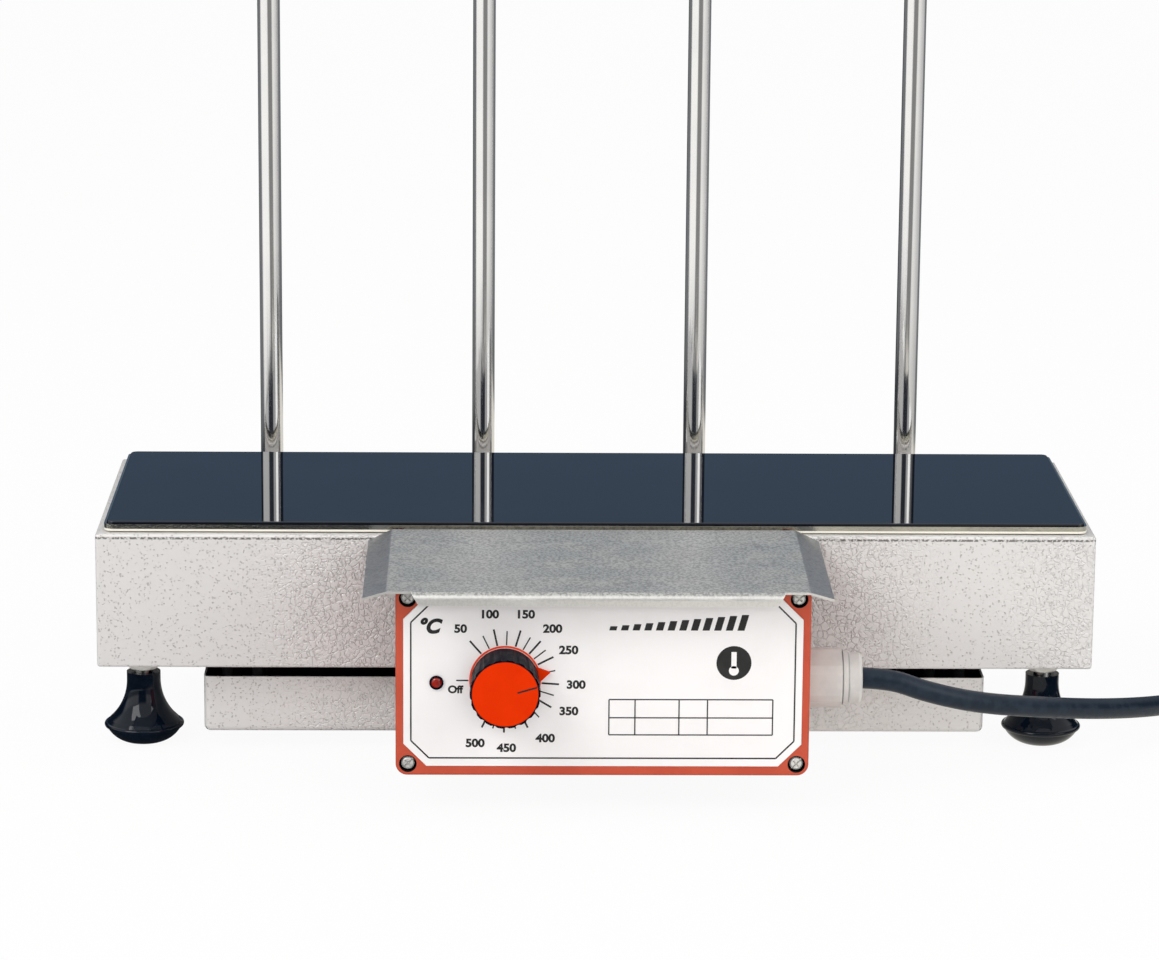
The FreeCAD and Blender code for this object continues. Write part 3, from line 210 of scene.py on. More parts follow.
def make_studio_group():
    """The wall's colour for a direction: gap, left or right panel, dark corner, back wall."""
    names = ("Front", "Left", "Right", "Far right", "Corner", "Back")
    inputs = {"Direction": ("Vector", (0, 0, 0)), "Turn": ("Float", 0.0)}
    inputs.update({wall: ("Color", grey(0.5)) for wall in names})
    group, start, end = new_group("studio_surround", inputs, {"Color": "Color"})
    front, left, right, far_right, corner, back = [start.outputs[wall] for wall in names]
    parts = split(group, start.outputs["Direction"])
    toward = math_node(group, "MULTIPLY", parts["Y"], -1.0)
    compass = math_node(group, "ARCTAN2", parts["X"], toward)
    signed = math_node(group, "SUBTRACT", compass, start.outputs["Turn"])
    angle = math_node(group, "ABSOLUTE", signed)
    fading = blend_colours(group, ramp(group, signed, *PANEL_FADE), right, far_right)
    side = blend_colours(group, ramp(group, signed, *LEFT_TO_RIGHT), left, fading)
    near = blend_colours(group, ramp(group, angle, *GAP_EDGE), front, side)
    round_to_corner = blend_colours(group, ramp(group, angle, *CORNER_EDGE), near, corner)
    whole = blend_colours(group, ramp(group, angle, *BACK_EDGE), round_to_corner, back)
    join(group, whole, end.inputs["Color"])
    return group


studio_group = make_studio_group()
print("group", studio_group.name)

# %% [markdown]
# The sky shows three faces. The camera sees plain white paper. Matt surfaces get an even, slightly
# warm light from all sides, as under a diffusing tent. Shiny surfaces see the studio, darker near
# the horizon and pale overhead, where the ceiling would be.

# %% World
SKY_WALLS = {"Turn": math.radians(-6), "Front": (0.05, 0.055, 0.07, 1), "Left": grey(1.3),
             "Right": grey(1.05), "Far_right": (0.25, 0.25, 0.26, 1), "Corner": (0.012, 0.016, 0.026, 1),
             "Back": (0.115, 0.168, 0.245, 1)}
TENT = (0.66, 0.65, 0.645, 1)
CEILING = grey(0.8)
HORIZON_HEIGHT = (0.10, 0.19)
HORIZON_DIM = 0.35
CEILING_HEIGHT = (0.36, 0.52)


def make_world():
    """White to the camera, even light on matt surfaces, and the studio in shiny ones."""
    world = bpy.data.worlds.new("studio")
    bpy.context.scene.world = world
    world.use_nodes = True
    tree = world.node_tree
    background = tree.nodes["Background"]
    background.inputs["Strength"].default_value = 1.0
    direction = add(tree, "TexCoord").outputs["Generated"]
    walls = place(tree, studio_group, **SKY_WALLS)
    join(tree, direction, walls.inputs["Direction"])
    height = split(tree, direction)["Z"]
    low = ramp(tree, height, *HORIZON_HEIGHT, HORIZON_DIM, 1.0)
    dimmed = vector_node(tree, "SCALE", walls.outputs["Color"], low)[0]
    shiny = blend_colours(tree, ramp(tree, height, *CEILING_HEIGHT), dimmed, CEILING)
    rays = add(tree, "LightPath").outputs
    matt = blend_colours(tree, rays["Is Glossy Ray"], TENT, shiny)
    join(tree, blend_colours(tree, rays["Is Camera Ray"], matt, grey(1)), background.inputs["Color"])


make_world()
print("world ready")

# %% [markdown]
# The floor has three jobs. The camera sees it white with a soft shadow, matt surfaces get its
# bounce, and steel that looks down at it sees the same studio as above, dimmer close to the object.
# The ring's left half looks at a dark stretch of floor and its right half at a bright one.
# Plain white emission for camera rays lifts the sheet to paper white.

# %% Floor
FLOOR_HALF = 9.0
FLOOR_DROP = 0.2 * MM
FLOOR_LIFT = 0.94
FLOOR_WALLS = {"Turn": math.radians(9), "Front": grey(0.24), "Left": (1.0, 1.0, 0.99, 1),
               "Right": (0.86, 0.86, 0.85, 1), "Far_right": grey(0.55), "Corner": (0.17, 0.18, 0.19, 1),
               "Back": (0.05, 0.055, 0.06, 1)}
NEAR_EDGE = (0.62, 0.7)
NEAR_LEFT = (0.035, 0.04, 0.045, 1)
NEAR_RIGHT = (0.74, 0.72, 0.66, 1)
NEAR_HALVES = (-0.12, 0.06)
FAR_DIM = (0.5, 1.1, 0.72, 1.0)


def floor_mirror(tree):
    """The colour that shiny surfaces find on the floor."""
    spot = own_place(tree)
    walls = place(tree, studio_group, **FLOOR_WALLS)
    join(tree, spot, walls.inputs["Direction"])
    distance = vector_node(tree, "LENGTH", spot)["Value"]
    far = vector_node(tree, "SCALE", walls.outputs["Color"], ramp(tree, distance, *FAR_DIM))[0]
    halves = ramp(tree, split(tree, spot)["X"], *NEAR_HALVES)
    close = blend_colours(tree, halves, NEAR_LEFT, NEAR_RIGHT)
    return blend_colours(tree, ramp(tree, distance, *NEAR_EDGE), close, far)


def mix_shaders(tree, factor, first, second):
    node = add(tree, "MixShader")
    for socket, value in zip(node.inputs, (factor, first, second)):
        join(tree, value, socket)
    return node.outputs[0]


def floor_material():
    material = bpy.data.materials.new("floor_white")
    material.use_nodes = True
    tree = material.node_tree
    tree.nodes.clear()
    sheet = add(tree, "BsdfDiffuse", Color=grey(0.86)).outputs[0]
    white = add(tree, "Emission", Color=grey(1), Strength=1.0).outputs[0]
    studio = add(tree, "Emission", Strength=1.0)
    join(tree, floor_mirror(tree), studio.inputs["Color"])
    rays = add(tree, "LightPath").outputs
    lifted = mix_shaders(tree, FLOOR_LIFT, sheet, white)
    unseen = mix_shaders(tree, rays["Is Glossy Ray"], sheet, studio.outputs[0])
    final = mix_shaders(tree, rays["Is Camera Ray"], unseen, lifted)
    join(tree, final, add(tree, "OutputMaterial").inputs["Surface"])
    return material


def make_floor():
    mesh = bpy.data.meshes.new("floor")
    signs = [(-1, -1), (1, -1), (1, 1), (-1, 1)]
    corners = [(x * FLOOR_HALF, y * FLOOR_HALF, -FLOOR_DROP) for x, y in signs]
    mesh.from_pydata(corners, [], [(0, 1, 2, 3)])
    mesh.materials.append(floor_material())
    floor = bpy.data.objects.new("floor", mesh)
    bpy.context.collection.objects.link(floor)


make_floor()
print("floor", 2 * FLOOR_HALF, "m across")

# %% [markdown]
# Three soft boxes do the modelling: a broad one high on the left, a weaker one on the right and a
# low one in front that lifts the face of the control box. They are large, so shadows stay soft.
# The front one doesn't show in mirrors, because it would stand in the dark gap.

# %% Soft boxes


def soft_box(name, at, aim, size, power):
    light = bpy.data.lights.new(name, "AREA")
    light.shape = "RECTANGLE"
    light.size, light.size_y = size
    light.energy = power
    lamp = bpy.data.objects.new(name, light)
    lamp.location = at
    lamp.rotation_euler = (Vector(aim) - Vector(at)).to_track_quat("-Z", "Y").to_euler()
    bpy.context.collection.objects.link(lamp)
    return lamp


soft_box("key_box", (-1.5, -1.5, 1.9), (0, 0, 0.1), (1.4, 1.4), 26)
soft_box("fill_box", (1.9, -1.3, 1.3), (0, 0, 0.1), (1.2, 1.6), 13)
front_box = soft_box("front_box", (0.1, -2.6, 0.9), (0, -0.1, 0.05), (1.6, 0.7), 13)
front_box.visible_glossy = False

# %% [markdown]
# Nothing made in a workshop is perfectly even. Four groups hold the small flaws that several
# finishes share: cloudy patches, a fine grain, short hair scratches and edge wear, whose mask also
# carries a painted edge highlight.
# Each puts out a mask or a height, and the material decides what to do with it.

# %% Group: cloudy patches


def make_patches_group():
    """Large soft patches, for colour and roughness that wander over a surface."""
    group, start, end = new_group(
        "cloudy_patches", {"Scale": ("Float", 20.0), "Low": ("Float", 0.4), "High": ("Float", 0.65)},
        {"Mask": "Float"})
    noise = noise_node(group, own_place(group), start.outputs["Scale"], Detail=4.0, Roughness=0.55)
    soft = add(group, "MapRange", {"interpolation_type": "SMOOTHSTEP"})
    join(group, noise["Fac"], soft.inputs["Value"])
    join(group, start.outputs["Low"], soft.inputs["From Min"])
    join(group, start.outputs["High"], soft.inputs["From Max"])
    join(group, soft.outputs["Result"], end.inputs["Mask"])
    return group


patches_group = make_patches_group()
print("group", patches_group.name)

# %% [markdown]
# Moulded plastic and rolled steel both have a grain finer than a tenth of a millimetre. It is
# never seen as such, but it breaks up highlights. Plain noise at a high scale is enough for it.

# %% Group: fine grain


def make_grain_group():
    group, start, end = new_group("fine_grain", {"Scale": ("Float", 2500.0)}, {"Height": "Float"})
    noise = noise_node(group, own_place(group), start.outputs["Scale"], Detail=2.0, Roughness=0.6)
    join(group, noise["Fac"], end.inputs["Height"])
    return group


grain_group = make_grain_group()
print("group", grain_group.name)

# %% [markdown]
# Polishing leaves hair lines along the direction of the work. Stretching noise along one axis
# draws them: where the noise crosses its middle value there is a thin long line.

# %% Group: hair scratches


def make_scratch_group():
    """Thin short lines: noise stretched along one direction, cut where it crosses its middle."""
    group, start, end = new_group(
        "hair_scratches",
        {"Stretch": ("Vector", (40, 900, 900)), "Width": ("Float", 0.02)}, {"Mask": "Float"})
    stretched = vector_node(group, "MULTIPLY", own_place(group), start.outputs["Stretch"])[0]
    noise = noise_node(group, stretched, 1.0, Detail=3.0, Roughness=0.7)
    off_middle = math_node(group, "ABSOLUTE", math_node(group, "SUBTRACT", noise["Fac"], 0.5))
    line = add(group, "MapRange", To_Min=1.0, To_Max=0.0)
    join(group, off_middle, line.inputs["Value"])
    join(group, start.outputs["Width"], line.inputs["From Max"])
    join(group, line.outputs["Result"], end.inputs["Mask"])
    return group


scratch_group = make_scratch_group()
print("group", scratch_group.name)

# %% [markdown]
# Edges are handled more than faces, so they are rubbed bright or dull first; a bright edge colour
# is also a painted highlight. The Bevel node knows where they are: it rounds the normal there, and
# the difference from the flat normal is the mask.

# %% Group: edge wear and painted edge highlight


def make_edge_group():
    """Bright where the rounded normal leaves the flat one, which is along the edges."""
    group, start, end = new_group("worn_and_lit_edges", {"Radius": ("Float", 0.0006)}, {"Mask": "Float"})
    rounded = add(group, "Bevel", {"samples": 6})
    join(group, start.outputs["Radius"], rounded.inputs["Radius"])
    flat = add(group, "NewGeometry").outputs["Normal"]
    both = vector_node(group, "DOT_PRODUCT", rounded.outputs["Normal"], flat)["Value"]
    turn = math_node(group, "SUBTRACT", 1.0, both)
    join(group, ramp(group, turn, 0.02, 0.3), end.inputs["Mask"])
    return group


worn_and_lit_edge_group = make_edge_group()
print("group", worn_and_lit_edge_group.name)

# %% [markdown]
# Most finishes differ in a few numbers only, so one function makes them: a base colour with a
# cloudy second colour, a roughness that wanders between two values, a grain for the bump and an
# edge colour for wear and painted edge highlight. What is special about a finish is added to its
# tree afterwards, for instance with paint, which lays one more colour over it.

# %% A finish from a few numbers
SPECKLE_CUT = (0.42, 0.62)


def finish(name, colour, second, rough=(0.3, 0.4), metallic=0.0, patch=20.0, grain=2500.0,
           grain_depth=0.00002, grain_strength=0.2, edge=None, edge_radius=0.0006, speckle=None,
           gloss=0.5):
    """A material with wandering colour and roughness, fine grain and, if asked, edges with wear and a
    painted highlight.
    """
    material = bpy.data.materials.new(name)
    material.use_nodes = True
    tree = material.node_tree
    shader = tree.nodes["Principled BSDF"]
    shader.inputs["Metallic"].default_value = metallic
    shader.inputs["Specular IOR Level"].default_value = gloss
    clouds = place(tree, patches_group, Scale=patch).outputs["Mask"]
    tint = blend_colours(tree, clouds, colour + (1,), second + (1,))
    fine = place(tree, grain_group, Scale=grain).outputs["Height"]
    if speckle:
        tint = blend_colours(tree, ramp(tree, fine, *SPECKLE_CUT), tint, speckle + (1,))
    if edge:
        # The edge colour stands for wear and for a painted edge highlight.
        worn_and_lit = place(tree, worn_and_lit_edge_group, Radius=edge_radius).outputs["Mask"]
        tint = blend_colours(tree, worn_and_lit, tint, edge + (1,))
    join(tree, tint, shader.inputs["Base Color"])
    join(tree, ramp(tree, clouds, 0.0, 1.0, *rough), shader.inputs["Roughness"])
    bump = add(tree, "Bump", Strength=grain_strength, Distance=grain_depth)
    join(tree, fine, bump.inputs["Height"])
    join(tree, bump.outputs["Normal"], shader.inputs["Normal"])
    return material


def paint(material, mask, colour):
    """Lay one more colour over a finish where a mask of the same tree says so."""
    tree = material.node_tree
    socket = tree.nodes["Principled BSDF"].inputs["Base Color"]
    below = socket.links[0].from_socket
    join(tree, blend_colours(tree, mask, below, colour + (1,)), socket)


def dress(material, *names):
    """Give a finish to solids, on the object's own slots so that their meshes stay untouched."""
    for name in names:
        for slot in nodes[name].material_slots:
            slot.link = "OBJECT"
            slot.material = material
    print(material.name, "on", len(names))


# %% [markdown]
# The housing and the tray under it are folded from embossed sheet. Its rollers leave scattered
# pits a little over a millimetre apart, and where the sheet was pressed harder, beside the box and
# at the right end, they run together into a leathery net of fine cracks. A Voronoi texture has
# both: close to a cell's point lies a pit, and along its edges runs the net.

# %% Group: embossed sheet
BEND_SCALE = 420.0
BEND_REACH = 0.0022
PIT_SIZES = (0.10, 0.31)
PIT_RIM = (-0.05, 0.08)
NET_COARSER = 0.55
NET_WIDTH = 0.13
NET_BREAKS = (0.36, 0.56, 0.25, 1.0)
NET_SHADE = 0.45


def make_emboss_group():
    """Pits in every cell, each of its own size, and a broken net of the strength asked for."""
    group, start, end = new_group("embossed_sheet", {"Scale": ("Float", 430.0), "Net": ("Float", 0.0)},
                                  {"Height": "Float", "Pits": "Float"})
    where = own_place(group)
    wander = noise_node(group, where, BEND_SCALE, Detail=2.0)
    shift = vector_node(group, "SCALE", wander["Color"], BEND_REACH)[0]
    bent = vector_node(group, "ADD", where, shift)[0]
    points = add(group, "TexVoronoi", {"feature": "F1"}, Randomness=1.0)
    join(group, bent, points.inputs["Vector"])
    join(group, start.outputs["Scale"], points.inputs["Scale"])
    chance = add(group, "SeparateColor")
    join(group, points.outputs["Color"], chance.inputs[0])
    size = ramp(group, chance.outputs[0], 0.0, 1.0, *PIT_SIZES)
    rim = math_node(group, "SUBTRACT", size, points.outputs["Distance"])
    pits = ramp(group, rim, *PIT_RIM)
    edges = add(group, "TexVoronoi", {"feature": "DISTANCE_TO_EDGE"}, Randomness=1.0)
    join(group, bent, edges.inputs["Vector"])
    join(group, math_node(group, "MULTIPLY", start.outputs["Scale"], NET_COARSER), edges.inputs["Scale"])
    line = ramp(group, edges.outputs["Distance"], 0.0, NET_WIDTH, 1.0, 0.0)
    broken = math_node(group, "MULTIPLY", line, ramp(group, wander["Fac"], *NET_BREAKS))
    net = math_node(group, "MULTIPLY", broken, start.outputs["Net"])
    marks = math_node(group, "MAXIMUM", pits, net)
    join(group, math_node(group, "MULTIPLY", marks, -1.0), end.inputs["Height"])
    shade = math_node(group, "MAXIMUM", pits, math_node(group, "MULTIPLY", net, NET_SHADE))
    join(group, shade, end.inputs["Pits"])
    return group


emboss_group = make_emboss_group()
print("group", emboss_group.name)

# %% [markdown]
# The sheet's own finish is half steel and half lacquer to the eye: bright, soft and a little warm.
# The strength of the net depends on where a point lies along the plate, and the tree works that out
# from the object's coordinates, which every solid keeps from the drawing.

# %% Embossed steel
SHEET_PATCH = 9.0
SHEET_ROUGH = (0.40, 0.50)
PIT_DEPTH = 0.35 * MM
PIT_SHADE = 0.5
BOX_CRACKS = (0.11, 0.165)
END_CRACKS = (0.165, 0.205)
END_SHARE = 0.7


def embossed_steel(name, colour, second, pit_shade_colour, crack):
    """Sheet with pits, and with cracks beside the box and at the right end."""
    material = bpy.data.materials.new(name)
    material.use_nodes = True
    tree = material.node_tree
    shader = tree.nodes["Principled BSDF"]
    shader.inputs["Metallic"].default_value = 0.25
    along = split(tree, own_place(tree))["X"]
    by_box = ramp(tree, math_node(tree, "ABSOLUTE", along), *BOX_CRACKS, crack, 0.0)
    by_end = ramp(tree, along, *END_CRACKS, 0.0, END_SHARE * crack)
    sheet = place(tree, emboss_group, Scale=740.0)
    join(tree, math_node(tree, "ADD", by_box, by_end), sheet.inputs["Net"])
    clouds = place(tree, patches_group, Scale=SHEET_PATCH).outputs["Mask"]
    join(tree, blend_colours(tree, clouds, colour + (1,), second + (1,)), shader.inputs["Base Color"])
    # The pits and the net are painted darker than the sheet: painted shade in the dents, on top of the
    # bump.
    paint(material, math_node(tree, "MULTIPLY", sheet.outputs["Pits"], PIT_SHADE), pit_shade_colour)
    join(tree, ramp(tree, clouds, 0.0, 1.0, *SHEET_ROUGH), shader.inputs["Roughness"])
    bump = add(tree, "Bump", Strength=1.0, Distance=PIT_DEPTH)
    join(tree, sheet.outputs["Height"], bump.inputs["Height"])
    join(tree, bump.outputs["Normal"], shader.inputs["Normal"])
    return material


housing_steel = embossed_steel("housing_embossed_steel", (0.80, 0.785, 0.77), (0.765, 0.75, 0.735),
                               (0.42, 0.40, 0.37), crack=1.0)
# The tray gets the housing's finish painted lighter: painted light that lifts it out of the shadow under
# the housing.
tray_steel_painted_light = embossed_steel("tray_embossed_steel_painted_light", (0.90, 0.885, 0.865), (0.86, 0.845, 0.825),
                            (0.5, 0.47, 0.44), crack=0.6)
dress(housing_steel, "housing")
dress(tray_steel_painted_light, "lower_tray")

# %% [markdown]
# Two marks follow the shape rather than the roller: a row of dark dashes a little under the top bend
# of the housing, and painted shade inside the tray, which is painted black so the air gap above it is
# dark. Both are masks worked out from the place on the sheet and laid over the finish as one more colour.

# %% Dark dashes, and painted shade inside the tray
SHEET_T = 1.0 * MM
DASH_UNDER = (2.1 * MM, 1.4 * MM)
DASH_SOFT = 0.3 * MM
DASH_SCALE = 900.0
DASH_BREAKS = (0.40, 0.56, 0.1, 0.85)
WALL_SOFT = 0.1 * MM


def inside(tree, value, low, high, soft):
    """A mask that is 1 between two values and falls off over a soft width on each side."""
    rise = ramp(tree, value, low - soft, low)
    fall = ramp(tree, value, high, high + soft, 1.0, 0.0)
    return math_node(tree, "MULTIPLY", rise, fall)


def add_dashes(material, top):
    """A broken dark line a little under the bend at a height."""
    tree = material.node_tree
    where = own_place(tree)
    band = inside(tree, split(tree, where)["Z"], top - DASH_UNDER[0], top - DASH_UNDER[1], DASH_SOFT)
    dash = noise_node(tree, where, DASH_SCALE, Detail=1.0)
    mask = math_node(tree, "MULTIPLY", band, ramp(tree, dash["Fac"], *DASH_BREAKS))
    paint(material, mask, (0.10, 0.10, 0.09))


def blacken_inside(material, low, high, wall):
    """Painted shade: black on every face that lies deeper than the wall."""
    tree = material.node_tree
    spot = split(tree, own_place(tree))
    deep = 0.95 * wall
    across = inside(tree, spot["X"], low.x + deep, high.x - deep, WALL_SOFT)
    along = inside(tree, spot["Y"], low.y + deep, high.y - deep, WALL_SOFT)
    above = ramp(tree, spot["Z"], low.z + 0.9 * wall, low.z + deep)
    mask = math_node(tree, "MULTIPLY", math_node(tree, "MULTIPLY", across, along), above)
    # Painted shade inside the tray.
    paint(material, mask, (0.006, 0.008, 0.01))


add_dashes(housing_steel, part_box("housing")[1].z)
blacken_inside(tray_steel_painted_light, *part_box("lower_tray"), SHEET_T)
# Painted shade: the bottom cover and the standoffs are near black, so the gap they stand in looks dark.
gap_shade_black = finish("cover_black_painted_shade", (0.012, 0.013, 0.015), (0.02, 0.02, 0.022), rough=(0.5, 0.65),
                     patch=40.0, grain=1500.0, gloss=0.2)
dress(gap_shade_black, "bottom_cover", "tray_standoffs")

# %% [markdown]
# The plate is black glass ceramic with a flat polish. Seen at a low angle it is mostly mirror, so
# its base is nearly black and the slate blue comes from the studio's back wall. Wiping leaves a
# faint haze that shows only as a change of roughness.

# %% Glass plate


def black_glass():
    material = finish("glass_ceramic_black", (0.004, 0.006, 0.011), (0.006, 0.008, 0.014),
                      rough=(0.015, 0.045), patch=14.0, grain=900.0, grain_depth=0.000004,
                      grain_strength=0.05)
    material.node_tree.nodes["Principled BSDF"].inputs["IOR"].default_value = 1.54
    return material


dress(black_glass(), "glass_plate")

# %% [markdown]
# The ring round the plate is a polished strip: dark where it mirrors the dark floor, with a painted
# highlight along its lower edge, which is also rougher and less metallic there. The heat shield is
# one piece of satin sheet, so it is only half a mirror; a fine speckle in its colour gives the rolled
# grain. Its flaps get painted shade and its front lip painted light, by the way each faces.

# %% Steel ring, shield and bracket
LIT_HEM_EDGE = (0.8 * MM, 1.1 * MM)
FLAP_TURN = (0.12, 0.3)
LIP_TURN = (-0.9, -0.6)


def ring_finish():
    """Polished steel, with a painted highlight along the lower edge, which is also duller there."""
    material = finish("trim_ring_steel", (0.60, 0.585, 0.52), (0.50, 0.49, 0.44), rough=(0.10, 0.2),
                      metallic=1.0, patch=60.0, grain=1100.0, grain_depth=0.00008, grain_strength=0.6)
    tree = material.node_tree
    shader = tree.nodes["Principled BSDF"]
    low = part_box("trim_ring")[0].z
    height = split(tree, own_place(tree))["Z"]
    lit_hem = ramp(tree, height, low + LIT_HEM_EDGE[0], low + LIT_HEM_EDGE[1], 1.0, 0.0)
    # Painted highlight along the ring's lower edge.
    paint(material, lit_hem, (0.93, 0.90, 0.80))
    join(tree, ramp(tree, lit_hem, 0.0, 1.0, 0.14, 0.55), shader.inputs["Roughness"])
    join(tree, ramp(tree, lit_hem, 0.0, 1.0, 1.0, 0.2), shader.inputs["Metallic"])
    return material


def shade_folds(material):
    """A copy with painted shade on the side flaps and painted light on the front lip, by the way each
    faces.
    """
    material = material.copy()
    tree = material.node_tree
    facing = split(tree, add(tree, "TexCoord").outputs["Normal"])
    flap = ramp(tree, math_node(tree, "ABSOLUTE", facing["X"]), *FLAP_TURN, 0.0, 0.62)
    lip = ramp(tree, facing["Y"], *LIP_TURN, 0.75, 0.0)
    # Painted shade on the flaps, painted light on the lip.
    paint(material, flap, (0.15, 0.16, 0.19))
    paint(material, lip, (0.95, 0.93, 0.89))
    return material


dress(ring_finish(), "trim_ring")
# The shield's bright edge colour is a painted highlight along its edges and its lip.
shield_steel = finish("shield_satin_steel", (0.60, 0.60, 0.575), (0.55, 0.55, 0.53), rough=(0.34, 0.46),
                      metallic=0.7, patch=55.0, grain=800.0, grain_depth=0.00008, grain_strength=0.7,
                      edge=(0.9, 0.9, 0.87), edge_radius=0.0009, speckle=(0.34, 0.34, 0.335))
dress(shield_steel, "box_bracket", "support_sheet")
dress(shade_folds(shield_steel), "heat_shield")

# %% [markdown]
# The rods are drawn and then polished along their length. The polish leaves lines that run up the
# rod, so the noise that moves the roughness is stretched along Z.

# %% Rods, screws and nuts


def rod_steel():
    material = finish("polished_rod_steel", (0.90, 0.89, 0.875), (0.86, 0.85, 0.84), rough=(0.08, 0.14),
                      metallic=1.0, patch=30.0, grain_strength=0.05)
    tree = material.node_tree
    shader = tree.nodes["Principled BSDF"]
    lines = place(tree, scratch_group, Stretch=(1400, 1400, 6), Width=0.06).outputs["Mask"]
    join(tree, ramp(tree, lines, 0.0, 1.0, 0.07, 0.16), shader.inputs["Roughness"])
    return material


dress(rod_steel(), *["support_rod_%d" % i for i in (1, 2, 3, 4)])
screw_steel = finish("screw_steel", (0.66, 0.66, 0.65), (0.52, 0.52, 0.50), rough=(0.22, 0.38),
                     metallic=1.0, patch=300.0, edge=(0.9, 0.9, 0.88), edge_radius=0.0003)
dress(screw_steel, "panel_screws", "tray_screws", "holder_screws", "regulator_nut",
      "regulator_shaft", "stud_front_left", "stud_front_right", "stud_rear_left", "stud_rear_right")
nut_zinc = finish("nut_zinc_steel", (0.92, 0.91, 0.84), (0.84, 0.83, 0.76), rough=(0.3, 0.42),
                  metallic=0.3, patch=200.0, edge=(0.85, 0.85, 0.8), edge_radius=0.0003)
dress(nut_zinc, "foot_nuts", "foot_washers")
# The lid screws' dark edge colour is painted shade round the head and in its slot.
screw_bright = finish("lid_screw_steel", (0.86, 0.85, 0.81), (0.76, 0.75, 0.72), rough=(0.3, 0.45),
                      metallic=0.5, patch=500.0, edge=(0.3, 0.3, 0.3), edge_radius=0.0002)
dress(screw_bright, "lid_screws")
holder_metal = finish("holder_aluminium", (0.62, 0.62, 0.61), (0.54, 0.54, 0.53), rough=(0.3, 0.42),
                      metallic=0.95, patch=120.0, edge=(0.85, 0.85, 0.84))
dress(holder_metal, "rod_holders")

# %% [markdown]
# The mouldings differ in gloss. The feet are polished, the box has a fine grain, the lacquered front
# plate is smooth, and the grip is dull enough not to mirror the white plate behind it. The four lid
# screws sit in deep bores, and the bores get painted shade: black by their distance from the screws'
# axes.

# %% Feet and plastics
HEAD_R = 2.9 * MM
BORE_R = 3.7 * MM
foot_black = finish("foot_black_gloss", (0.002, 0.005, 0.011), (0.004, 0.008, 0.016), rough=(0.05, 0.1),
                    patch=90.0, grain_strength=0.05, gloss=0.32)
dress(foot_black, "foot_front_left", "foot_front_right", "foot_rear_left", "foot_rear_right")
box_orange = finish("box_orange_plastic", (0.53, 0.078, 0.038), (0.49, 0.070, 0.034), rough=(0.42, 0.54),
                    patch=70.0, grain=3200.0, grain_depth=0.00004, grain_strength=0.35,
                    edge=(0.66, 0.13, 0.07), gloss=0.3)
dress(box_orange, "box_body")


def blacken_bores(material):
    """A copy with painted shade: black inside the four screw bores, which lie deep."""
    material = material.copy()
    tree = material.node_tree
    low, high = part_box("lid_screws")
    spot = split(tree, own_place(tree))
    away = add(tree, "CombineXYZ")
    for axis in "xz":
        middle = (getattr(low, axis) + getattr(high, axis)) / 2
        reach = (getattr(high, axis) - getattr(low, axis)) / 2 - HEAD_R
        off = math_node(tree, "ABSOLUTE", math_node(tree, "SUBTRACT", spot[axis.upper()], middle))
        join(tree, math_node(tree, "SUBTRACT", off, reach), away.inputs[axis.upper()])
    distance = vector_node(tree, "LENGTH", away.outputs[0])["Value"]
    # Painted shade in the bores.
    paint(material, ramp(tree, distance, BORE_R, 1.03 * BORE_R, 1.0, 0.0), (0.008, 0.008, 0.01))
    return material


dress(blacken_bores(box_orange), "box_lid")
panel_white = finish("panel_white_lacquer", (0.88, 0.86, 0.855), (0.85, 0.832, 0.825), rough=(0.3, 0.38),
                     patch=30.0, grain_strength=0.08)
dress(panel_white, "front_panel")
grip_black = finish("grip_black_plastic", (0.002, 0.003, 0.008), (0.004, 0.006, 0.013), rough=(0.3, 0.4),
                    patch=200.0, grain=3600.0, gloss=0.012)
dress(grip_black, "knob_grip", "lamp_holder", "coil_tie")
cap_orange = finish("cap_orange_plastic", (0.69, 0.030, 0.0004), (0.665, 0.027, 0.0003), rough=(0.5, 0.6),
                    patch=60.0, grain=3400.0, grain_strength=0.2, gloss=0.03)
dress(cap_orange, "knob_cap", "knob_pointer")
lamp_red = finish("lamp_red_plastic", (0.32, 0.016, 0.008), (0.20, 0.008, 0.005), rough=(0.04, 0.08),
                  patch=400.0, grain_strength=0.05, gloss=0.8)
dress(lamp_red, "lamp_lens")

# %% [markdown]
# The cable gland is milky nylon. Light goes a little way into it and comes out again, which is
# what the subsurface weight does. The cord is rubber: dark, satin and a little uneven. The pieces
# inside are seldom seen, so each gets one plain finish of its own material.

# %% Gland, cord and inner pieces


def milky_nylon():
    material = finish("gland_milky_nylon", (0.65, 0.635, 0.605), (0.59, 0.58, 0.56), rough=(0.3, 0.4),
                      patch=110.0, grain_strength=0.08)
    shader = material.node_tree.nodes["Principled BSDF"]
    shader.inputs["Subsurface Weight"].default_value = 0.35
    shader.inputs["Subsurface Radius"].default_value = (0.003, 0.0028, 0.0024)
    shader.inputs["Subsurface Scale"].default_value = 1.0
    return material


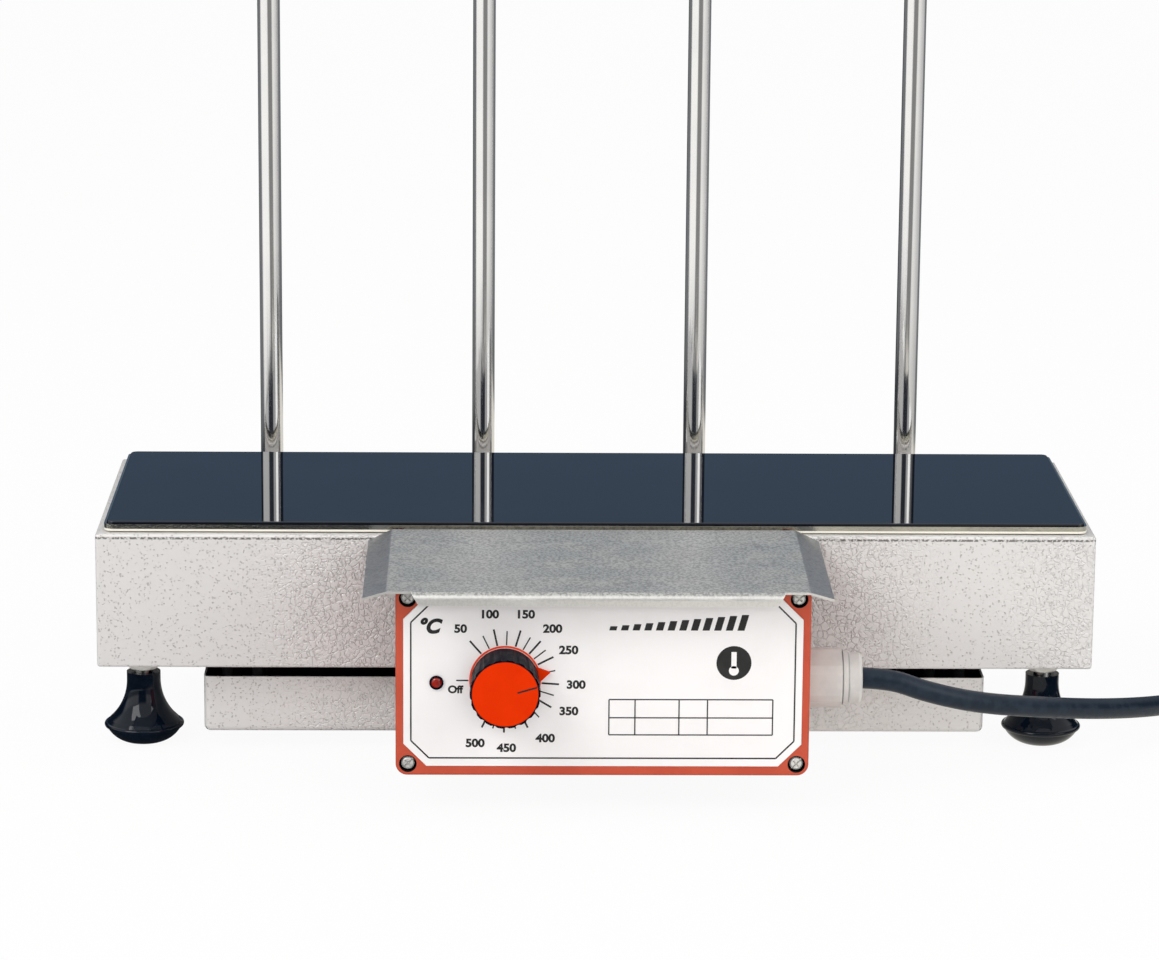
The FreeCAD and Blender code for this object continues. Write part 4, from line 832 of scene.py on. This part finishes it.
dress(milky_nylon(), "gland_body", "gland_nut", "gland_locknut")
cord_rubber = finish("cord_black_rubber", (0.006, 0.014, 0.027), (0.012, 0.023, 0.039),
                     rough=(0.36, 0.48), patch=260.0, grain=1900.0, grain_strength=0.3, gloss=0.28)
dress(cord_rubber, "plug_body", "lead_loom")
seal_rubber = finish("seal_rubber", (0.015, 0.015, 0.016), (0.03, 0.03, 0.03), rough=(0.5, 0.7),
                     patch=90.0)
dress(seal_rubber, "glass_seal", "housing_gasket", "gland_seal", "cable_bush")
fibre = finish("insulation_fibre", (0.74, 0.71, 0.64), (0.62, 0.59, 0.52), rough=(0.8, 0.95), patch=80.0,
               grain=700.0, grain_depth=0.0004, grain_strength=0.8)
dress(fibre, "insulation_tray", "terminal_block")
warm_brass = finish("insert_brass", (0.62, 0.44, 0.16), (0.52, 0.36, 0.13), rough=(0.25, 0.4),
                    metallic=1.0, patch=200.0)
dress(warm_brass, "foot_inserts", "plug_pins")
dark_ribbon = finish("ribbon_oxide", (0.16, 0.13, 0.11), (0.24, 0.19, 0.15), rough=(0.4, 0.6),
                     metallic=0.8, patch=150.0)
dress(dark_ribbon, "heating_ribbon", "temperature_probe")
case_grey = finish("regulator_grey", (0.16, 0.16, 0.165), (0.2, 0.2, 0.2), rough=(0.45, 0.6), patch=120.0)
dress(case_grey, "regulator")

# %% [markdown]
# The print on the front plate is a film of ink. Each printed figure is a thin flat mesh that lies
# on the plate, a few hundredths of a millimetre proud, so that it takes the light as ink does.
# All of it is drawn in millimetres, about the dial's middle or about the plate's, with X to the
# right and Z up.

# %% Helpers for print
panel_low, panel_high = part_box("front_panel")
cap_low, cap_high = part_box("knob_cap")
PANEL_Y = panel_low.y
DIAL = Vector(((cap_low.x + cap_high.x) / 2, PANEL_Y, (cap_low.z + cap_high.z) / 2))
INK = 0.04 * MM


def printed(name, outlines, material, body="base", y=PANEL_Y, thickness=INK):
    """One thin piece from flat outlines, each a list of (x, z) points in metres."""
    work = bmesh.new()
    for outline in outlines:
        face = work.faces.new([work.verts.new((x, y - thickness, z)) for x, z in outline])
        back = bmesh.ops.extrude_face_region(work, geom=[face])
        moved = [v for v in back["geom"] if isinstance(v, bmesh.types.BMVert)]
        bmesh.ops.translate(work, verts=moved, vec=(0, thickness, 0))
    bmesh.ops.recalc_face_normals(work, faces=work.faces)
    mesh = bpy.data.meshes.new(name)
    work.to_mesh(mesh)
    work.free()
    mesh.materials.append(material)
    piece = bpy.data.objects.new(name, mesh)
    bpy.context.collection.objects.link(piece)
    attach(piece, body)
    return piece


def bar(start, end, width):
    """A straight printed line between two (x, z) points, as one outline."""
    along = (Vector(end) - Vector(start)).normalized()
    side = Vector((-along.y, along.x)) * width / 2
    corners = (Vector(start) - side, Vector(end) - side, Vector(end) + side, Vector(start) + side)
    return [(p.x, p.y) for p in corners]


def on_dial(radius, degrees):
    """A point at a radius in millimetres and an angle, counted from the right, about the dial."""
    a = math.radians(degrees)
    return (DIAL.x + radius * MM * math.cos(a), DIAL.z + radius * MM * math.sin(a))


ink_black = finish("ink_black", (0.012, 0.012, 0.013), (0.02, 0.02, 0.02), rough=(0.4, 0.5), patch=120.0)
ink_orange = finish("ink_orange", (0.78, 0.07, 0.012), (0.72, 0.06, 0.01), rough=(0.4, 0.5), patch=120.0)
print("dial middle", [round(v, 4) for v in DIAL])

# %% [markdown]
# The scale isn't even: the marks stand closer together at the hot end, so their angles were read one
# by one. Every second mark is a long one and carries a number. A thin orange ring runs round the
# grip, and one more tick on the left marks the off position.

# %% Dial ring and ticks
TICKS = {50: 130.8, 75: 115.8, 100: 102.3, 125: 87.9, 150: 73.5, 175: 60.7, 200: 49.1, 225: 38.0,
         250: 27.0, 275: 11.8, 300: -4.0, 325: -17.4, 350: -30.9, 375: -48.1, 400: -65.0, 425: -78.0,
         450: -91.0, 475: -103.7, 500: -115.4}
RING = (14.3, 15.15)
TICK_START = 15.4
LONG_TICK = (22.8, 0.8)
SHORT_TICK = (21.6, 0.56)
OFF_TICK = (20.6, 0.6)


def tick(angle, end, width):
    return bar(on_dial(TICK_START, angle), on_dial(end, angle), width * MM)


def dial_ticks():
    """Long ticks at the numbers, short ones between them, and the off tick."""
    lines = [tick(angle, *(SHORT_TICK if value % 50 else LONG_TICK)) for value, angle in TICKS.items()]
    return lines + [tick(180, *OFF_TICK)]


def ring_pieces(inner, outer, steps=72):
    """A flat ring as short four-cornered outlines, because one outline can't hold a hole."""
    angles = [360.0 * i / steps for i in range(steps + 1)]
    return [[on_dial(inner, a), on_dial(outer, a), on_dial(outer, b), on_dial(inner, b)]
            for a, b in zip(angles, angles[1:])]


printed("dial_ticks", dial_ticks(), ink_black)
printed("dial_ring", ring_pieces(*RING), ink_orange)
print("ticks", len(TICKS) + 1)

# %% [markdown]
# A thin line follows the plate's edge and its cut corners, and an empty table stands at the lower
# right. Both are only bars between points, so one helper turns places about the plate's middle into
# metres, and the bars do the rest.

# %% Border and table grid
PANEL_MID_X = (panel_low.x + panel_high.x) / 2
PANEL_MID_Z = (panel_low.z + panel_high.z) / 2
BORDER = {"half_w": 81.0, "half_h": 33.4, "chamfer": 7.6, "width": 0.65}
TABLE = {"left": 2.6, "right": 71.8, "top": -7.6, "bottom": -23.1, "columns": (13.6, 32.2, 44.2),
         "rows": (-15.6,), "width": 0.55}


def on_plate(x, z):
    """A point in millimetres about the plate's middle."""
    return (PANEL_MID_X + x * MM, PANEL_MID_Z + z * MM)


def border_lines(half_w, half_h, chamfer, width):
    """A thin line that follows the plate's cut corners."""
    corners = [(-half_w + chamfer, half_h), (half_w - chamfer, half_h), (half_w, half_h - chamfer),
               (half_w, -half_h + chamfer), (half_w - chamfer, -half_h), (-half_w + chamfer, -half_h),
               (-half_w, -half_h + chamfer), (-half_w, half_h - chamfer)]
    places = [on_plate(x, z) for x, z in corners]
    return [bar(a, b, width * MM) for a, b in zip(places, places[1:] + places[:1])]


def grid_lines(left, right, top, bottom, columns, rows, width):
    """An empty table: its frame, upright lines and one row line, in millimetres about the plate."""
    uprights = [bar(on_plate(x, top), on_plate(x, bottom), width * MM) for x in (left, *columns, right)]
    levels = [bar(on_plate(left, z), on_plate(right, z), width * MM) for z in (top, *rows, bottom)]
    return uprights + levels


printed("panel_border", border_lines(**BORDER), ink_black)
printed("panel_table", grid_lines(**TABLE), ink_black)
print("plate middle", round(PANEL_MID_X, 4), round(PANEL_MID_Z, 4))

# %% [markdown]
# Numbers are set with Blender's own font. A text object is an outline like any other: a small
# offset makes it bolder, and a small extrude gives the ink its thickness.

# %% Numbers on the dial
CAPITAL_SHARE = 0.7


def lettering(name, words, place_mm, size, bolder, slant=0.0, squeeze=1.0):
    """Text centred on a point in millimetres about the dial; size is its capitals' height."""
    data = bpy.data.curves.new(name, "FONT")
    data.body = words
    data.size = size * MM / CAPITAL_SHARE
    data.align_x = "CENTER"
    data.align_y = "CENTER"
    data.offset = bolder * MM
    data.shear = slant
    data.extrude = INK / 2
    data.materials.append(ink_black)
    piece = bpy.data.objects.new(name, data)
    piece.location = (DIAL.x + place_mm[0] * MM, PANEL_Y - INK / 2, DIAL.z + place_mm[1] * MM)
    piece.rotation_euler = (math.radians(90), 0, 0)
    piece.scale = (squeeze, 1, 1)
    bpy.context.collection.objects.link(piece)
    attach(piece, "base")


NUMBER_PLACES = {50: (-18.8, 22.4), 100: (-6.7, 28.7), 150: (8.4, 28.7), 200: (19.9, 22.5),
                 250: (26.7, 13.2), 300: (29.9, -1.9), 350: (26.9, -13.5), 400: (17.1, -25.4),
                 450: (0.7, -29.7), 500: (-12.6, -27.6)}
for value, spot in NUMBER_PLACES.items():
    lettering("dial_number_%d" % value, str(value), spot, 3.4, bolder=0.2, squeeze=1.1)
lettering("dial_unit", "°C", (-32.5, 23.3), 5.9, bolder=0.4, slant=0.3)
lettering("dial_off", "Off", (-21.0, -4.1), 3.1, bolder=0.18, squeeze=1.05)
print("numbers", len(NUMBER_PLACES))

# %% [markdown]
# Two plain signs that any hot plate could carry: a row of slanted bars that rises from cool to hot,
# and a thermometer in a round field. The thermometer is a second film on top of the first, in the
# plate's own white.

# %% Pictograms
STEP_COUNT = 12
STEP_START = (2.4, 22.6)
STEP_PITCH = 4.9
STEP_W = 3.0
STEP_LOWEST = 1.8
STEP_RISE = 0.46
STEP_LEAN = 0.28
SIGN_MIDDLE = (55.1, 8.5)
SIGN_R = 7.4
BULB_R = 2.1
BULB_DOWN = 3.4
STEM_HALF = 1.1
STEM_ENDS = (-2.4, 4.8)


def heat_steps():
    """A rising row of slanted bars, from cool to hot."""
    bars = []
    for i in range(STEP_COUNT):
        x = STEP_START[0] + i * STEP_PITCH
        z = STEP_START[1]
        top = STEP_LOWEST + i * STEP_RISE
        lean = top * STEP_LEAN
        corners = [(x, z), (x + STEP_W, z), (x + STEP_W + lean, z + top), (x + lean, z + top)]
        bars.append([on_plate(*corner) for corner in corners])
    return bars


def disc(x, z, radius, steps):
    """A round outline about a point in millimetres on the plate."""
    turns = [2 * math.pi * i / steps for i in range(steps)]
    return [on_plate(x + radius * math.cos(a), z + radius * math.sin(a)) for a in turns]


def thermometer(x, z):
    """A stem and a bulb that overlap."""
    low, high = STEM_ENDS
    corners = [(-STEM_HALF, low), (STEM_HALF, low), (STEM_HALF, high), (-STEM_HALF, high)]
    return [[on_plate(x + dx, z + dz) for dx, dz in corners], disc(x, z - BULB_DOWN, BULB_R, 24)]


printed("panel_heat_steps", heat_steps(), ink_black)
printed("panel_sign_disc", [disc(*SIGN_MIDDLE, SIGN_R, 40)], ink_black)
printed("panel_sign_thermometer", thermometer(*SIGN_MIDDLE), panel_white, y=PANEL_Y - INK)
print("pictograms", STEP_COUNT, "steps and a sign")

# %% [markdown]
# A thin line on the orange cap shows where the control points. It is printed on the cap, so it
# rides on the control and turns with it, unlike all the print on the plate.

# %% Line on the cap
CAP_Y = cap_low.y
CAP_LINE = bar(on_dial(5.2, 8.2), on_dial(13.7, 13.2), 0.73 * MM)
printed("cap_line", [CAP_LINE], ink_black, body="knob", y=CAP_Y)
print("cap front", round(CAP_Y, 4))

# %% [markdown]
# The mains cord is one fixed length of rubber cable. It leaves the gland level, droops to the
# bench, runs back past the right-hand end and is wound up in four turns beside the plate.
# A NURBS curve is the natural tool: it bends smoothly round its control points as a cable does
# round its own stiffness. The order has to be set after the points are there.

# %% Route of the cord
CORD_D = 9.2 * MM
CORD_R = CORD_D / 2
ORIGIN_Y = 34.1
GLAND_POINTS = [(107.0, -126.0, 52.0), (124.0, -126.0, 52.0), (141.0, -124.5, 45.2),
                (165.0, -116.0, 37.8), (194.0, -97.0, 30.6), (222.0, -73.5, 23.0),
                (248.0, -48.0, 16.6), (272.0, -16.0, 10.0), (288.0, 22.0, 5.6), (296.0, 52.0, 4.7)]
COIL_MIDDLE = (348.1, 80.0)
COIL_RADII = (52.1, 42.9, 42.9, 52.1)
COIL_LEVELS = (4.7, 4.7, 13.9, 13.9)
TURN_POINTS = 12
CLIMB_START = 0.75
SWELL = 0.985
TAIL_POINTS = [(399.2, 56.0, 15.3), (393.2, 30.0, 18.5), (385.7, 5.0, 18.5)]


def coil_points():
    """Clockwise turns from the left side: outer, inner, then the same on top, and half a turn out.

    The last quarter of a turn moves over to the next one. The spline cuts inside its points, so
    they stand a little outside the turn.
    """
    last = len(COIL_RADII) - 1
    reach = 1 / math.cos(math.pi / TURN_POINTS) ** SWELL
    points = []
    for i in range(len(COIL_RADII) * TURN_POINTS + TURN_POINTS // 2 + 1):
        turn = min(i / TURN_POINTS, last + 0.999)
        ring = int(turn)
        over = max(0.0, (turn - ring - CLIMB_START) / (1 - CLIMB_START)) if ring < last else 0.0
        after = min(ring + 1, last)
        radius = COIL_RADII[ring] + (COIL_RADII[after] - COIL_RADII[ring]) * over
        level = COIL_LEVELS[ring] + (COIL_LEVELS[after] - COIL_LEVELS[ring]) * over
        angle = math.pi - 2 * math.pi * i / TURN_POINTS
        points.append((COIL_MIDDLE[0] + radius * reach * math.cos(angle),
                       COIL_MIDDLE[1] + radius * reach * math.sin(angle), level))
    return points


def to_row(point):
    """From the drawing's millimetres to metres in the object's frame."""
    return (point[0] * MM, (point[1] + ORIGIN_Y) * MM, point[2] * MM)


cord_points = [to_row(p) for p in GLAND_POINTS + coil_points() + TAIL_POINTS]
print("cord points", len(cord_points))

# %% [markdown]
# The cord's solids stay in the drawing as a tube, a ring and a tail. Here one curve takes their
# place.
# Its length is read from the curve, so the stated length is the drawn one.

# %% Cord


def make_cord(points):
    data = bpy.data.curves.new("mains_cord", "CURVE")
    data.dimensions = "3D"
    data.bevel_depth = CORD_R
    data.bevel_resolution = 6
    data.resolution_u = 10
    data.use_fill_caps = True
    spline = data.splines.new("NURBS")
    spline.points.add(len(points) - 1)
    for spot, point in zip(spline.points, points):
        spot.co = (*point, 1.0)
    spline.order_u = 3
    spline.use_endpoint_u = True
    data.materials.append(cord_rubber)
    cord = bpy.data.objects.new("mains_cord", data)
    bpy.context.collection.objects.link(cord)
    length = spline.calc_length()
    print("cord length", round(length, 3))
    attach(cord, "base")
    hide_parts("cord_tube", "cord_coil", "cord_tail")
    return cord, length


cord, cord_length = make_cord(cord_points)
